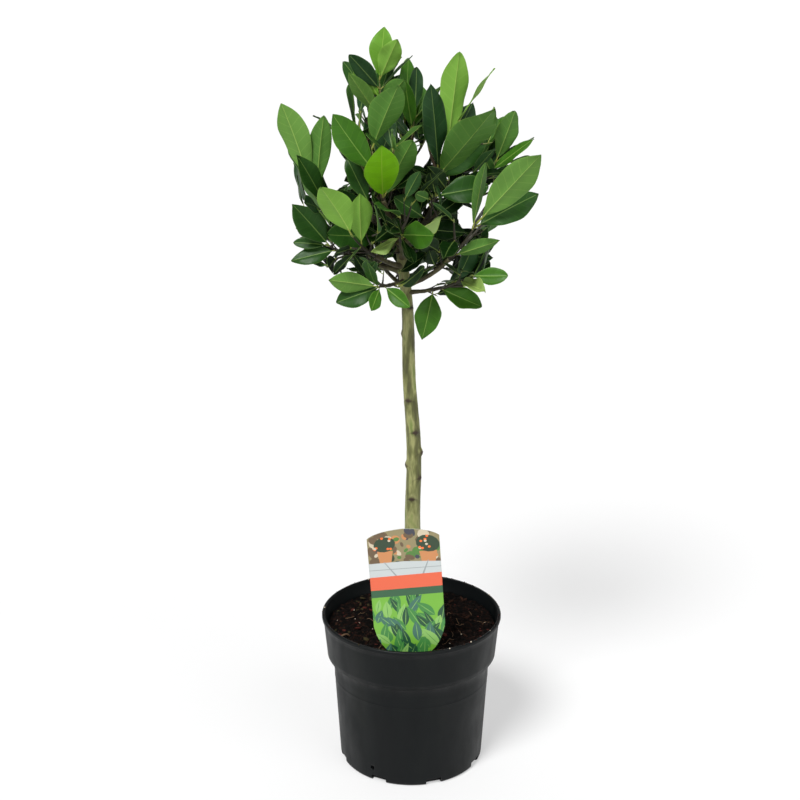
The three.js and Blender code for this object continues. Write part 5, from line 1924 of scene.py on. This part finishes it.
def make_label():
    """The printed card, with its rim and plain back."""
    materials = {
        name: plain_material("label_" + name, colour, (0.28, 0.4), (900, 0.05))
        for name, colour in LABEL_COLOURS.items()
    }
    outline = label_outline()
    verts, faces, slots = label_front(outline, label_motifs())
    soup = Soup()
    half = LABEL_THICKNESS_SHOWN / 2
    points = [label_point(x, z, half) for x, z in verts]
    uvs = [(0.5 + x / 200, (z - 120) / 200) for x, z in verts]
    soup.add(points, [(*face, -1) for face in faces], slots, uvs)
    count = len(outline)
    rim = [label_point(x, z, out) for out in (half, -half) for x, z in outline]
    sides = [(k, count + k, count + (k + 1) % count, (k + 1) % count) for k in range(count)]
    soup.add(rim, sides, ["card"] * count, [(0.9, 0.9)] * (2 * count))
    back_verts, back_faces, _ = label_front(outline, [])
    back = [label_point(x, z, -half) for x, z in back_verts]
    back_faces = [(c, b, a, -1) for a, b, c in back_faces]
    back_uvs = [(0.05 + x / 900, 0.9) for x, _ in back_verts]
    soup.add(back, back_faces, ["card"] * len(back_faces), back_uvs)
    piece = soup.build("label_card", materials, smooth=False)
    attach(piece, "root")
    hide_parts("label")


# ---------------------------------------------------------------- camera, lights and floor

CAMERA_PLACE = (-0.0121, -1.3671, 0.8293)
CAMERA_PITCH = 17.425
CAMERA_LENS = 63.585
SENSOR = 36


def make_camera():
    """The camera of the main view."""
    data = bpy.data.cameras.new("camera")
    data.lens = CAMERA_LENS
    data.sensor_width = SENSOR
    data.sensor_fit = "HORIZONTAL"
    camera = bpy.data.objects.new("camera", data)
    camera.location = CAMERA_PLACE
    camera.rotation_euler = (math.radians(90 - CAMERA_PITCH), 0, 0)
    bpy.context.scene.collection.objects.link(camera)
    bpy.context.scene.camera = camera


def sun(name, azimuth, rise, strength, softness):
    """A soft, even light from an azimuth and height above level, in degrees."""
    data = bpy.data.lights.new(name, "SUN")
    data.energy = strength
    data.angle = math.radians(softness)
    lamp = bpy.data.objects.new(name, data)
    lamp.rotation_euler = Vector(-heading(azimuth, rise)).to_track_quat("-Z", "Y").to_euler()
    bpy.context.scene.collection.objects.link(lamp)


def make_lights():
    """A dim white world and three soft suns."""
    world = bpy.data.worlds.new("studio")
    world.use_nodes = True
    background = world.node_tree.nodes["Background"]
    background.inputs["Color"].default_value = (1, 1, 1, 1)
    background.inputs["Strength"].default_value = 0.07
    bpy.context.scene.world = world
    sun("key", 240, 50, 3.7, 22)
    sun("fill", 315, 35, 1.0, 45)
    sun("top", 90, 70, 0.7, 60)


FLOOR_SIDES = 96
FLOOR_PROFILE = [(18, 0), (20, 0.3), (21, 1), (21.6, 2.2), (22, 4.6)]
FLOOR_GREY = (0.42, 0.42, 0.42, 1)
FLOOR_GLOW = 0.43
RIM_GLOW = 0.8


def glowing_material(name, glow):
    """A pale grey without shine that gives off a little light, and its shader."""
    made, _, shader = new_material(name)
    shader.inputs["Base Color"].default_value = FLOOR_GREY
    shader.inputs["Specular IOR Level"].default_value = 0
    shader.inputs["Emission Color"].default_value = (1, 1, 1, 1)
    shader.inputs["Emission Strength"].default_value = glow
    return made, shader


def make_floor():
    """A pale floor that rises to a low rim far out, so that it fills the view from every side."""
    mesh = bpy.data.meshes.new("floor")
    turns = np.linspace(0, 2 * math.pi, FLOOR_SIDES, endpoint=False)
    corners = [(radius * math.cos(turn), radius * math.sin(turn), height)
               for radius, height in FLOOR_PROFILE for turn in turns]
    faces = [tuple(range(FLOOR_SIDES))]
    for i in range(len(FLOOR_PROFILE) - 1):
        for j in range(FLOOR_SIDES):
            a, n = i * FLOOR_SIDES, (j + 1) % FLOOR_SIDES
            faces.append((a + j, a + FLOOR_SIDES + j, a + FLOOR_SIDES + n, a + n))
    mesh.from_pydata(corners, [], faces)
    floor = bpy.data.objects.new("floor", mesh)
    bpy.context.scene.collection.objects.link(floor)
    flat, flat_shader = glowing_material("floor", FLOOR_GLOW)
    flat_shader.inputs["Roughness"].default_value = 0.9
    rim, _ = glowing_material("floor_rim", RIM_GLOW)
    mesh.materials.append(flat)
    mesh.materials.append(rim)
    mesh.polygons.foreach_set("material_index", [0] + [1] * (len(faces) - 1))


# ---------------------------------------------------------------- assembly

bpy.context.scene.view_settings.view_transform = "Standard"
make_camera()
make_lights()
make_floor()
crown, obstacles, place = grow_crown()
grow_finer(crown, obstacles, place)
make_leaves(crown, leaf_materials())
make_twigs(crown)
make_bark()
make_pot()
make_soil()
make_label()
